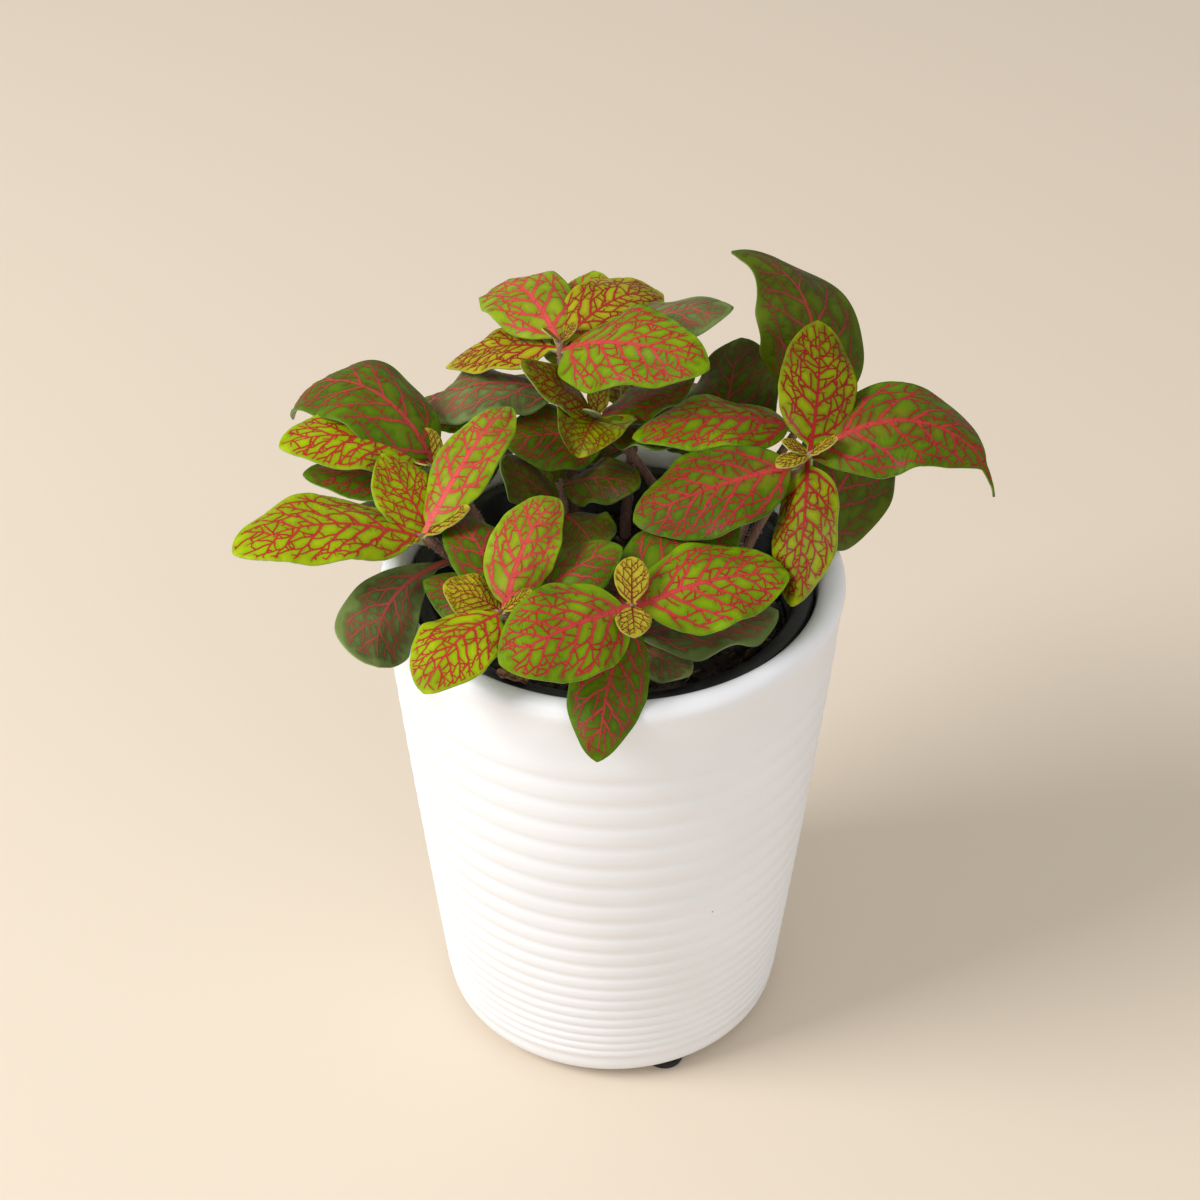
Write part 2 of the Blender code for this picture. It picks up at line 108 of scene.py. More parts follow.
bm = bmesh.new()
bmesh.ops.create_grid(bm, x_segments=1, y_segments=1, size=TABLE_SIZE / 2)
table_top = place_in_scene("table_top", bm)
table_top.data.materials.append(paint)

for name, place, size, power in (("window", WINDOW_PLACE, WINDOW_SIZE, WINDOW_POWER),
                                 ("fill", FILL_PLACE, FILL_SIZE, FILL_POWER)):
    lamp = bpy.data.lights.new(name, "AREA")
    lamp.size = size
    lamp.energy = power
    light = bpy.data.objects.new(name, lamp)
    light.location = place
    light.rotation_euler = (LIGHTS_AIM - Vector(place)).to_track_quat("-Z", "Y").to_euler()
    bpy.context.scene.collection.objects.link(light)

room = bpy.data.worlds.new("room")
room.use_nodes = True
room.node_tree.nodes["Background"].inputs["Color"].default_value = linear(ROOM_COLOUR)
room.node_tree.nodes["Background"].inputs["Strength"].default_value = ROOM_STRENGTH
bpy.context.scene.world = room
bpy.context.scene.view_settings.view_transform = "Standard"

lens = bpy.data.cameras.new("camera")
lens.lens = CAMERA_LENS
lens.sensor_width = 36
camera = bpy.data.objects.new("camera", lens)
camera.location = CAMERA_PLACE
camera.rotation_euler = (radians(90 - CAMERA_DOWN), 0, 0)
bpy.context.scene.collection.objects.link(camera)
bpy.context.scene.camera = camera


# The cachepot is slip-cast earthenware with a satin white glaze. Shallow ribs were turned into it
# below a plain band, closer together towards the foot, and the rim is thick and rounded.

# All sizes from here on are in millimetres, those of the patterns too.
MM = 0.001
POT_HEIGHT = 166.0
POT_RIM_RADIUS = 69.5
POT_BASE_RADIUS = 53.0
POT_BULGE = 0.6
POT_BOTTOM_ROUND = 8.0
POT_WALL = 8.0
POT_INNER_TAPER = 0.11
POT_FLOOR = 8.0
POT_TURNS = 160
PAD_HEIGHT = 1.6
CLEARANCE = 0.3
RIB_DEPTH = 0.28
RIB_LOWEST = 12.0
RIB_HIGHEST = 146.0
RIB_PITCH_LOW = 3.4
RIB_PITCH_GAIN = 6.0
RIB_PITCH_HEIGHT = 70.0
RIB_STEPS = 6
GLAZE_COLOUR = "#ECEEF3"
GLAZE_POOLED = "#DADBDD"
SPECK_COLOUR = "#4A4036"
GLAZE_CLOUDS = 45.0
ORANGE_PEEL = 1.11
SPECK_SPACING = 16.0
COLOURS = {"data_type": "RGBA"}


def turned(profile, turns):
    """Spin a profile of (radius, height) in millimetres round +Z into a closed body."""
    bm = bmesh.new()
    points = [bm.verts.new((r * MM, 0, z * MM)) for r, z in profile]
    edges = [bm.edges.new(pair) for pair in zip(points, points[1:])]
    bmesh.ops.spin(bm, geom=points + edges, cent=(0, 0, 0), axis=(0, 0, 1),
                   angle=2 * pi, steps=turns, use_merge=True)
    bmesh.ops.remove_doubles(bm, verts=bm.verts, dist=0.01 * MM)
    bmesh.ops.recalc_face_normals(bm, faces=bm.faces)
    return bm


def pot_outer_radius(z):
    share = z / POT_HEIGHT
    return POT_BASE_RADIUS + (POT_RIM_RADIUS - POT_BASE_RADIUS) * share + POT_BULGE * sin(pi * share)


def pot_inner_radius(z):
    return POT_RIM_RADIUS - POT_WALL - POT_INNER_TAPER * (POT_HEIGHT - z)


def add_piece(name, bm, finishes, nodes):
    """Put a finished mesh in the scene in place of its CAD nodes."""
    piece = place_in_scene(name, bm)
    piece.data.shade_smooth()
    for finish in finishes:
        piece.data.materials.append(finish)
    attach(piece, "root")
    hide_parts(*nodes)
    return piece


underside = PAD_HEIGHT + CLEARANCE
corner_z = underside + POT_BOTTOM_ROUND
corner_r = pot_outer_radius(corner_z) - POT_BOTTOM_ROUND
profile = [(0, underside), (corner_r / 2, underside)]
for step in range(9):
    turn = radians(11.25 * step)
    profile.append((corner_r + POT_BOTTOM_ROUND * sin(turn), corner_z - POT_BOTTOM_ROUND * cos(turn)))
z = RIB_LOWEST
while z < RIB_HIGHEST:
    pitch = RIB_PITCH_LOW + RIB_PITCH_GAIN * (1 - exp(-(z / RIB_PITCH_HEIGHT) ** 2))
    for step in range(RIB_STEPS):
        share = step / RIB_STEPS
        height = z + pitch * share
        profile.append((pot_outer_radius(height) + RIB_DEPTH * (2 * sin(pi * share) ** 0.6 - 1), height))
    z += pitch
roll = POT_WALL / 2
for share in (0.08, 0.25, 0.45, 0.65, 0.85):
    height = z + (POT_HEIGHT - roll - z) * share
    profile.append((pot_outer_radius(height), height))
for step in range(13):
    turn = radians(15 * step)
    profile.append((POT_RIM_RADIUS - roll + roll * cos(turn), POT_HEIGHT - roll + roll * sin(turn)))
inside = underside + POT_FLOOR
for share in (0.95, 0.75, 0.5, 0.25, 0.1):
    height = inside + POT_BOTTOM_ROUND + (POT_HEIGHT - inside - POT_BOTTOM_ROUND - roll) * share
    profile.append((pot_inner_radius(height), height))
for step in range(1, 5):
    turn = radians(22.5 * step)
    profile.append((pot_inner_radius(inside) - POT_BOTTOM_ROUND * (1 - cos(turn)),
                    inside + POT_BOTTOM_ROUND * (1 - sin(turn))))
profile.append((0, inside))

# Satin white glaze, poured: nearly plain, a little greyer where it pools, with the faintest orange
# peel, and a few dark specks of iron that burnt through in the kiln.
glaze, tree, coords = new_finish("satin_white_glaze")
clouds = add(tree, "TexNoise", {}, {"Vector": coords, "Scale": 1000 / GLAZE_CLOUDS, "Detail": 2})
peel = add(tree, "TexNoise", {}, {"Vector": coords, "Scale": 1000 / ORANGE_PEEL, "Detail": 1})
body_colour = add(tree, "Mix", COLOURS, {
    0: add(tree, "MapRange", {}, {"Value": clouds, "From Min": 0.45, "From Max": 0.75, "To Max": 0.3}),
    6: linear(GLAZE_COLOUR), 7: linear(GLAZE_POOLED)})
cells = add(tree, "TexVoronoi", {}, {"Vector": coords, "Scale": 1000 / SPECK_SPACING})
speck = add(tree, "MapRange", {}, {
    "Value": cells.outputs["Distance"], "From Min": 0.016, "From Max": 0.026, "To Min": 1, "To Max": 0})
chosen = add(tree, "SeparateColor", {}, {0: cells.outputs["Color"]})
few = add(tree, "Math", {"operation": "GREATER_THAN"}, {0: chosen.outputs["Red"], 1: 0.72})
speck_share = add(tree, "Math", {"operation": "MULTIPLY"}, {0: speck, 1: few})
pot_colour = add(tree, "Mix", COLOURS, {
    0: speck_share, 6: body_colour, 7: linear(SPECK_COLOUR)})
uneven = add(tree, "MapRange", {}, {"Value": clouds, "To Min": 0.38, "To Max": 0.52})
close_finish(tree, add(tree, "BsdfPrincipled", {}, {
    "Base Color": pot_colour, "Roughness": uneven, "IOR": 1.5,
    "Normal": add(tree, "Bump", {}, {"Height": peel, "Strength": 0.12, "Distance": 0.0003})}))

add_piece("cachepot", turned(profile, POT_TURNS), [glaze], ["pot"])


# Three small pads of black rubber are glued under the cachepot, and one shows at its foot on the
# right. They are punched from sheet, so they are flat discs with barely rounded edges.

PAD_RADIUS = 6.0
PAD_CIRCLE = 45.0
PAD_ANGLES = (-68, 52, 172)
PAD_EDGE = 0.3
RUBBER_DUST = 1.43

# Black rubber: matt and dusty, a little lighter in patches.
rubber, tree, coords = new_finish("black_rubber")
dust = add(tree, "TexNoise", {}, {"Vector": coords, "Scale": 1000 / RUBBER_DUST, "Detail": 3})
tone = add(tree, "Mix", COLOURS, {0: dust, 6: linear("#141414"), 7: linear("#2E2C2A")})
close_finish(tree, add(tree, "BsdfPrincipled", {}, {
    "Base Color": tone, "Roughness": 0.82,
    "Normal": add(tree, "Bump", {}, {"Height": dust, "Strength": 0.3, "Distance": 0.0001})}))

for number, angle in enumerate(PAD_ANGLES, 1):
    bm = bmesh.new()
    bmesh.ops.create_cone(bm, cap_ends=True, segments=48, radius1=PAD_RADIUS * MM,
                          radius2=PAD_RADIUS * MM, depth=PAD_HEIGHT * MM)
    ends = [edge for edge in bm.edges if abs(edge.verts[0].co.z - edge.verts[1].co.z) < 0.1 * MM]
    bmesh.ops.bevel(bm, geom=ends, offset=PAD_EDGE * MM, offset_type="OFFSET", affect="EDGES",
                    segments=2, profile=0.5, material=-1)
    place = Vector((PAD_CIRCLE * cos(radians(angle)), PAD_CIRCLE * sin(radians(angle)), PAD_HEIGHT / 2))
    bmesh.ops.translate(bm, verts=bm.verts, vec=place * MM)
    add_piece(f"rubber_pad_{number}", bm, [rubber], [f"foot_pad_{number}"])


# The plant still stands in the thin black pot it was grown in, formed from polypropylene sheet. Its
# folded lip rests just inside the cachepot's rim, and the floor has five drain holes.

LIP_DROP = 4.0
LIP_BAND = 5.0
LIP_SKIRT = 6.0
LIP_EDGE = 0.5
LIP_FLARE = 1.5
LIP_NECK = 3.0
NURSERY_WALL = 1.1
NURSERY_DEPTH = 114.0
NURSERY_BASE_RADIUS = 43.0
NURSERY_TURNS = 144
PLASTIC_SCUFFS = 2.86
DRAIN_RADIUS = 4.0
DRAIN_CIRCLE = 28.0
DRAIN_COUNT = 5

lip = POT_HEIGHT - LIP_DROP
nursery_floor = lip - NURSERY_DEPTH


def nursery_radius(z):
    """Outer radius of the nursery pot's wall below its lip."""
    top = pot_inner_radius(lip) - CLEARANCE - LIP_BAND
    return NURSERY_BASE_RADIUS + (top - NURSERY_BASE_RADIUS) * (z - nursery_floor) / NURSERY_DEPTH


skirt = pot_inner_radius(lip - LIP_SKIRT) - CLEARANCE
wall = NURSERY_WALL
profile = [
    (0, nursery_floor),
    (nursery_radius(nursery_floor) - wall, nursery_floor),
    (nursery_radius(nursery_floor + wall), nursery_floor + wall),
    (nursery_radius(lip - LIP_NECK), lip - LIP_NECK),
    (nursery_radius(lip - wall) + LIP_FLARE, lip - wall),
    (skirt - wall, lip - wall),
    (skirt - wall, lip - LIP_SKIRT),
    (skirt, lip - LIP_SKIRT),
    (skirt, lip - LIP_EDGE),
    (skirt - LIP_EDGE, lip),
    (nursery_radius(lip) + LIP_EDGE, lip),
    (nursery_radius(lip), lip - LIP_EDGE / 2),
    (nursery_radius(lip) - wall, lip - wall - LIP_EDGE),
    (nursery_radius(nursery_floor + wall) - wall, nursery_floor + wall),
    (0, nursery_floor + wall)]

# Black polypropylene: semi-matt, with fine scuffs and a film of dried soil dust near the top.
polypropylene, tree, coords = new_finish("black_polypropylene")
scuffs = add(tree, "TexNoise", {}, {
    "Vector": coords, "Scale": 1000 / PLASTIC_SCUFFS, "Detail": 4, "Roughness": 0.65})
film = add(tree, "MapRange", {}, {"Value": scuffs, "From Min": 0.5, "From Max": 0.8, "To Max": 0.5})
tone = add(tree, "Mix", COLOURS, {0: film, 6: linear("#15181A"), 7: linear("#3A3A36")})
close_finish(tree, add(tree, "BsdfPrincipled", {}, {
    "Base Color": tone, "IOR": 1.49,
    "Roughness": add(tree, "MapRange", {}, {"Value": scuffs, "To Min": 0.32, "To Max": 0.6}),
    "Normal": add(tree, "Bump", {}, {"Height": scuffs, "Strength": 0.15, "Distance": 0.0002})}))

black_pot = add_piece("nursery_pot_formed", turned(profile, NURSERY_TURNS), [polypropylene],
                      ["nursery_pot"])
drains = bmesh.new()
for number in range(DRAIN_COUNT):
    angle = 2 * pi * number / DRAIN_COUNT
    spot = Vector((DRAIN_CIRCLE * cos(angle), DRAIN_CIRCLE * sin(angle), nursery_floor)) * MM
    bmesh.ops.create_cone(drains, cap_ends=True, segments=32, radius1=DRAIN_RADIUS * MM,
                          radius2=DRAIN_RADIUS * MM, depth=6 * MM, matrix=Matrix.Translation(spot))
cutter = place_in_scene("drain_cutter", drains)
cut = black_pot.modifiers.new("drains", "BOOLEAN")
cut.operation = "DIFFERENCE"
cut.object = cutter
graph = bpy.context.evaluated_depsgraph_get()
black_pot.data = bpy.data.meshes.new_from_object(black_pot.evaluated_get(graph), depsgraph=graph)
black_pot.modifiers.clear()
bpy.data.objects.remove(cutter)
black_pot.data.set_sharp_from_angle(angle=radians(50))


# The soil is dark, moist peat mix: a crumbly low heap with lumps, splinters of bark and a few pale
# bits of dry fibre on it, pressed down a little where it meets the black pot.

SOIL_TOP = 147.0
SOIL_BUMP = 1.4
SOIL_TURNS = 150
SOIL_RINGS = 46
SOIL_SHOULDER = 2.0
SOIL_HEAP = 1.2
SOIL_HEAP_RADIUS = 55.0
SOIL_GRAIN = 1.1
PEAT_GRAIN = 1.11
DAMP_PATCHES = 7.7
BARK_FIBRE = 2.0
LUMP_COUNT = 620
CHIP_COUNT = 150


def soil_height(x, y):
    """Top of the soil in millimetres: a low heap, two sets of humps, and its crumbs."""
    heap = SOIL_HEAP * (1 - (x * x + y * y) / SOIL_HEAP_RADIUS ** 2)
    humps = sin(0.21 * x + 1.3) * cos(0.17 * y - 0.6) + 0.6 * sin(0.43 * x - 0.38 * y)
    crumbs = noise.fractal(Vector((x, y, 0)) / 3.0, 0.8, 2.0, 4)
    return SOIL_TOP + heap + SOIL_BUMP * humps + SOIL_GRAIN * crumbs


def join(bm, part):
    """Add one mesh, a finished bmesh, to another."""
    mesh = bpy.data.meshes.new("part")
    part.to_mesh(mesh)
    part.free()
    bm.from_mesh(mesh)
    bpy.data.meshes.remove(mesh)


side = NURSERY_WALL + 2 * CLEARANCE
low = nursery_floor + NURSERY_WALL + CLEARANCE
edge = SOIL_TOP - SOIL_SHOULDER
top_radius = nursery_radius(edge) - side
profile = [(0, low), (nursery_radius(low) - side, low), (top_radius, edge)]
profile += [(top_radius * (1 - ring / SOIL_RINGS), SOIL_TOP) for ring in range(SOIL_RINGS + 1)]
bm = turned(profile, SOIL_TURNS)
for vert in bm.verts:
    x, y, z = vert.co / MM
    if z > SOIL_TOP - 0.1:
        pressed = max(0, sqrt(x * x + y * y) / top_radius - 0.94) * 30
        vert.co.z = (soil_height(x, y) - pressed) * MM

draw = random.Random(5)
scatter = bmesh.new()
for number in range(LUMP_COUNT + CHIP_COUNT):
    reach = (top_radius - 2) * sqrt(draw.random())
    angle = draw.uniform(0, 2 * pi)
    x, y = reach * cos(angle), reach * sin(angle)
    spot = Matrix.Translation(Vector((x, y, soil_height(x, y) + draw.uniform(-0.2, 0.5))) * MM)
    spin = Matrix.Rotation(draw.uniform(0, 2 * pi), 4, (draw.uniform(-1, 1), draw.uniform(-1, 1), 1))
    if number < LUMP_COUNT:
        size = draw.uniform(0.5, 1.9) * MM
        shape = Matrix.Diagonal((1, draw.uniform(0.6, 1), draw.uniform(0.5, 0.9), 1))
        made = bmesh.ops.create_icosphere(scatter, subdivisions=1, radius=size, matrix=spot @ spin @ shape)
    else:
        shape = Matrix.Diagonal((draw.uniform(2, 6), draw.uniform(0.7, 1.8), draw.uniform(0.3, 0.8), 1))
        made = bmesh.ops.create_cube(scatter, size=MM, matrix=spot @ spin @ shape)
    for vert in made["verts"]:
        vert.co += Vector((draw.uniform(-1, 1), draw.uniform(-1, 1), draw.uniform(-1, 1))) * 0.22 * MM
        for face in vert.link_faces:
            face.material_index = 0 if number < LUMP_COUNT else 1
join(bm, scatter)

# Moist peat: nearly black between the crumbs, dark brown where they have dried.
peat, tree, coords = new_finish("moist_peat")
grain = add(tree, "TexNoise", {}, {
    "Vector": coords, "Scale": 1000 / PEAT_GRAIN, "Detail": 4, "Roughness": 0.7})
patches = add(tree, "TexNoise", {}, {"Vector": coords, "Scale": 1000 / DAMP_PATCHES, "Detail": 2})
dry = add(tree, "Math", {"operation": "MULTIPLY"}, {0: grain, 1: patches})
tone = add(tree, "Mix", COLOURS, {
    0: add(tree, "MapRange", {}, {"Value": dry, "From Min": 0.16, "From Max": 0.42}),
    6: linear("#120D0A"), 7: linear("#4A382A")})
close_finish(tree, add(tree, "BsdfPrincipled", {}, {
    "Base Color": tone, "Roughness": 0.9,
    "Normal": add(tree, "Bump", {}, {"Height": grain, "Strength": 0.9, "Distance": 0.0006})}))

# Splinters of composted bark: brown and fibrous, lighter than the peat round them.
bark, tree, coords = new_finish("bark_splinters")
fibre = add(tree, "TexNoise", {}, {"Vector": coords, "Scale": 1000 / BARK_FIBRE, "Detail": 3})
tone = add(tree, "Mix", COLOURS, {
    0: add(tree, "MapRange", {}, {"Value": fibre, "From Min": 0.35, "From Max": 0.65}),
    6: linear("#2B1D12"), 7: linear("#7A5A3C")})
close_finish(tree, add(tree, "BsdfPrincipled", {}, {
    "Base Color": tone, "Roughness": 0.85,
    "Normal": add(tree, "Bump", {}, {"Height": fibre, "Strength": 0.6, "Distance": 0.0003})}))

add_piece("peat_soil", bm, [peat, bark], ["soil"])


# Fifteen leafy stems grow out of the soil, each with crosswise pairs of oval leaves and an end bud.
# The leaves are thin and soft, puckered between their sunken veins, and the stems are downy. Sizes
# are in millimetres and degrees, in the same table as the solids': distance down the stem from the
# crown, heading, rise, length, width, droop, sweep, roll, form and colouring of each leaf.

LEAFY_STEMS = {
    "right_front": {"foot": (33, -4), "crown": (57, -1, 207), "leaves": (
        (1, 74, 46, 42, 23, 22, 19, 9, "young", "fresh"),
        (1.8, -92, -25, 46, 22.5, 26, -14, 33, "young", "fresh"),
        (6, 23, 38, 73, 33, 119, -55, 20, "tailed", "mature"),
        (4.5, 196, -4, 52, 32, 26, -6, -15, "young", "mature"),
        (1.5, -12, 45, 11, 7, 10, 0, 0, "bud", "bud"),
        (1, 170, 30, 9, 6, 10, 0, 0, "bud", "bud"),
        (1, 215, 10, 12, 7, 20, 0, 0, "bud", "bud"))},
    "right_back": {"foot": (36, 18), "crown": (56, 24, 200), "leaves": (
        (1.5, 41, 69, 68, 33, 72, 133, 5, "pointed", "old"),
        (1, 0, 50, 22, 15, 20, 0, 0, "young", "fresh"),
        (1, 188, 21, 52, 25, 54, -5, -6, "mature", "bright"))},
    "mid_right": {"foot": (22, 22), "crown": (34, 30, 188), "leaves": (
        (2.5, 82, 41, 40, 31, 22, -7, -17, "old", "old"),
        (3, 146, 16, 22, 15, 30, 0, 0, "mature", "deep"),
        (5, -84, 0, 28, 17, 20, 0, 0, "mature", "deep"))},
    "back_high": {"foot": (-12, 43), "crown": (-16, 45, 217), "leaves": (
        (2, 118, 33, 48, 28, 95, 8, -8, "mature", "light"),
        (3, 166, 0, 40, 21, 48, -2, -6, "narrow", "golden"),
        (2, 44, 29, 43, 26, 64, -9, 12, "young", "golden"),
        (3.6, -53, 36, 58, 31, 58, 34, 28, "broad", "bright"),
        (10, 13, 36, 56, 30, 43, -12, 0, "mature", "olive"),
        (12, 75, 32, 41.5, 28, 29, 3, -11, "mature", "light"),
        (19.4, 186, 26, 51, 29, 88, -3, 2, "old", "olive"),
        (1, 200, 50, 8, 5, 10, 0, 0, "bud", "bud"),
        (1, 20, 50, 8, 5, 10, 0, 0, "bud", "bud"))},
    "centre": {"foot": (20, 34), "crown": (-6, 35, 196), "leaves": (
        (1, -98, 27, 21, 28, 84, -16, -14, "cupped", "fresh"),
        (1.5, 20, 20, 33, 22, 10, 0, -10, "mature", "mature"),
        (1, 199, 55, 33, 15, 25, -4, -25, "young", "fresh"),
        (6, -28, 22, 30, 20, 30, -8, -5, "mature", "deep"),
        (8, 194, 10, 34, 24, 14, 0, -25, "mature", "deep"),
        (1, 73, 60, 12, 7, 3, 0, 0, "bud", "bud"),
        (1, 250, 50, 9, 6, 3, 0, 0, "bud", "bud"))},
    "left_back": {"foot": (-34, 16), "crown": (-54, 13, 193), "leaves": (
        (3, 141, 60, 69, 32, 145, 24, -4, "pointed", "deep"),
        (1.5, 179, 38, 49, 25, 56, 21, -11, "young", "lime"),
        (10, 186, 20, 45, 23, 24, 4, -4, "mature", "deep"),
        (1, 105, 50, 12, 8, 5, 0, 0, "bud", "bud"),
        (1, 250, 40, 10, 7, 5, 0, 0, "bud", "bud"))},
    "left_front": {"foot": (-36, -8), "crown": (-56, -14, 187), "leaves": (
        (5, 127, 50, 30, 21, 20, 10, 2, "young", "lime"),
        (3, 194, 30, 60, 29, 52, 12, -8, "young", "lime"),
        (1, 46, 48, 56, 19, 72, 26, 3, "mature", "light"),
        (14.5, 207, 0, 50, 24, 21, 77, -30, "stalked", "olive"),
        (1, 215, 10, 10, 6, 10, 0, 0, "bud", "bud"),
        (1, 5, 38, 17, 9, 10, 0, 0, "bud", "bud"))},
    "front_left": {"foot": (-22, -30), "crown": (-32, -44, 182), "leaves": (
        (2.5, 66, 61, 41, 20, 76, -8, 21, "mature", "light"),
        (6, 172, 37, 21, 17, 27, 4, -15, "young", "golden"),
        (1.5, 228, 13, 38, 24, 54, 14, -4, "young", "lime"),
        (11.5, 127, 49, 45, 19, 78, -12, -6, "mature", "deep"),
        (12, 23, 49, 38, 23, 46, -6, 11, "mature", "deep"),
        (11, 157, 27, 30, 20, 36, 3, -12, "mature", "deep"),
        (1, 10, 40, 11, 7, 10, 0, 0, "bud", "bud"))},
    "front": {"foot": (4, -32), "crown": (5, -49, 188), "leaves": (
        (1, 228, 18, 46, 31, 46, -25, -28, "mature", "bright"),
        (5, 22, 15, 48, 30, 32, -10, 20, "mature", "bright"),
        (1, 90, 29, 16, 10, 14, 0, 0, "bud", "bud"),
        (1, -88, 15, 16, 10, 26, 0, 0, "bud", "bud"),
        (11, -107, -8, 46, 23, 58, 6, -12, "mature", "deep"),
        (8, 61, 18, 52, 30, 22, -17, 5, "mature", "deep"),
        (24, 18, 0, 46, 27, 5, 0, -5, "old", "olive"),
        (26, -45, 5, 24, 17, 10, 0, 0, "old", "olive"),
        (10, 112, 8, 27, 17, 20, 0, 0, "old", "old"))},
    "middle": {"foot": (-14, 8), "crown": (-16, 30, 176), "leaves": (
        (2, -30, 37, 30, 19, 46, -2, 19, "old", "old"),
        (9, 194, 50, 27, 18, 10, -3, -30, "old", "old"),
        (11, -62, 17, 30, 19, 19, -15, 22, "old", "old"),
        (8, 125, 24, 22, 15, 30, 4, -22, "old", "old"))},
    "back_left": {"foot": (-24, 30), "crown": (-38, 50, 186), "leaves": (
        (1, 150, 10, 38, 24, 60, 0, 0, "mature", "mature"),
        (1, 80, 20, 34, 23, 70, 0, 0, "mature", "mature"),
        (4, 115, 0, 38, 26, 60, 0, 0, "mature", "deep"),
        (14, 190, 0, 34, 22, 40, 0, 0, "old", "old"),
        (1, 130, 50, 9, 6, 3, 0, 0, "bud", "bud"),
        (1, 310, 50, 9, 6, 3, 0, 0, "bud", "bud"))},
    "back": {"foot": (4, 40), "crown": (8, 56, 186), "leaves": (
        (2, 97, 20, 30, 21, 78, 0, 0, "young", "fresh"),
        (1, 20, 15, 34, 20, 50, 0, 0, "young", "mature"),
        (8, 68, 10, 34, 22, 60, 0, 0, "mature", "deep"),
        (14, 163, 0, 34, 16, 8, 0, 0, "old", "old"),
        (1, 150, 50, 9, 6, 3, 0, 0, "bud", "bud"),
        (1, 330, 50, 9, 6, 3, 0, 0, "bud", "bud"))},
    "back_right": {"foot": (32, 34), "crown": (40, 42, 171), "leaves": (
        (2.5, 112, 12, 26, 18, 45, 0, 0, "mature", "deep"),
        (1, -6, 6, 32, 22, 30, 0, 0, "mature", "mature"))},
    "right_low": {"foot": (46, -3), "crown": (57, 0, 173), "leaves": (
        (0.5, 64, 12, 54, 35, -38, -16, 44, "old", "old"),)},
    "left_low": {"foot": (-42, 4), "crown": (-58, 4, 175), "leaves": (
        (1, 105, 15, 30, 20, 60, 0, 0, "mature", "deep"),
        (1, 160, 14, 34, 20, 40, 0, 0, "mature", "old"))},
}

# How many degrees the halves turn from flat at the edge, up or down, how much the edge waves, how
# drawn out the base and the tip are, and how wide a tail it ends in, as a share of the width.
FORM_TERMS = ("cup", "wave", "base", "tip", "tail")
LEAF_FORMS = {name: dict(zip(FORM_TERMS, terms)) for name, *terms in (
    ("bud", 4, 0.2, 0.7, 0.62, 0),
    ("young", -8, 0.8, 0.58, 0.66, 0),
    ("mature", -12, 1.0, 0.5, 0.66, 0),
    ("old", -12, 1.4, 0.55, 0.62, 0),
    ("narrow", -8, 1.0, 0.7, 0.9, 0),
    ("pointed", -14, 1.2, 0.55, 0.85, 0),
    ("broad", -12, 1.0, 0.36, 0.66, 0),
    ("cupped", 27, 0.6, 0.24, 0.7, 0),
    ("stalked", -12, 1.2, 1.1, 0.5, 0),
    ("tailed", -14, 1.2, 0.55, 0.8, 0.24),
)}

# Colouring from the youngest leaves to the oldest: yellow-green with a crimson net at first, then
# green with broad coral veins, and at last dark green with little but the forked side veins left.
# rib, side and line are half widths and margin and mesh are sizes, in millimetres on a full-grown
# leaf. slant is the angle of the side veins, and closed the share of small veins that meet others.
# shade and light are the greens of the blade: shade is painted shade along the sunken veins and light a
# painted highlight on the puffs between them, with random mottling mixed in.
LOOK_TERMS = ("pairs", "rib", "side", "line", "mesh", "closed", "slant", "margin", "blush",
              "shade", "light", "lines", "vein")
LEAF_LOOKS = {name: dict(zip(LOOK_TERMS, terms)) for name, *terms in (
    ("bud", 5, 0.75, 0.52, 0.26, 6.0, 0.4, 50, 0.8, 0.1, "#8A8010", "#AC9E2C", "#6C1410", "#7A1814"),
    ("fresh", 7, 0.66, 0.46, 0.23, 3.8, 0.5, 52, 0.7, 0.0, "#566000", "#889200", "#760F08", "#981C16"),
    ("golden", 7, 0.62, 0.45, 0.22, 4.1, 0.45, 50, 0.7, 0.0, "#7C7A0A", "#B4AC1C", "#861A12", "#AA3024"),
    ("lime", 7, 0.7, 0.54, 0.25, 4.9, 0.45, 50, 0.8, 0.0, "#748A00", "#A2B606", "#A42418", "#C03C2E"),
    ("bright", 7, 1.0, 0.58, 0.25, 4.8, 0.45, 50, 0.9, 0.14, "#4E6C00", "#7C9A04", "#9A201A", "#C64640"),
    ("light", 6, 1.05, 0.6, 0.24, 4.9, 0.45, 50, 0.9, 0.16, "#627C08", "#92AA1A", "#B0322C", "#D6564E"),
    ("mature", 6, 1.05, 0.6, 0.28, 3.9, 0.55, 50, 0.8, 0.24, "#344C00", "#5C7602", "#841C1A", "#B63C36"),
    ("deep", 6, 0.85, 0.52, 0.22, 5.2, 0.3, 50, 1.2, 0.1, "#365200", "#5A7804", "#862820", "#BC463E"),
    ("old", 5, 0.85, 0.48, 0.15, 5.0, 0.2, 48, 1.8, 0.05, "#344202", "#50600A", "#5E241A", "#A03C34"),
    ("olive", 6, 0.75, 0.44, 0.17, 4.4, 0.35, 50, 2.2, 0.06, "#46522A", "#76884A", "#96483E", "#C0564C"),
)}

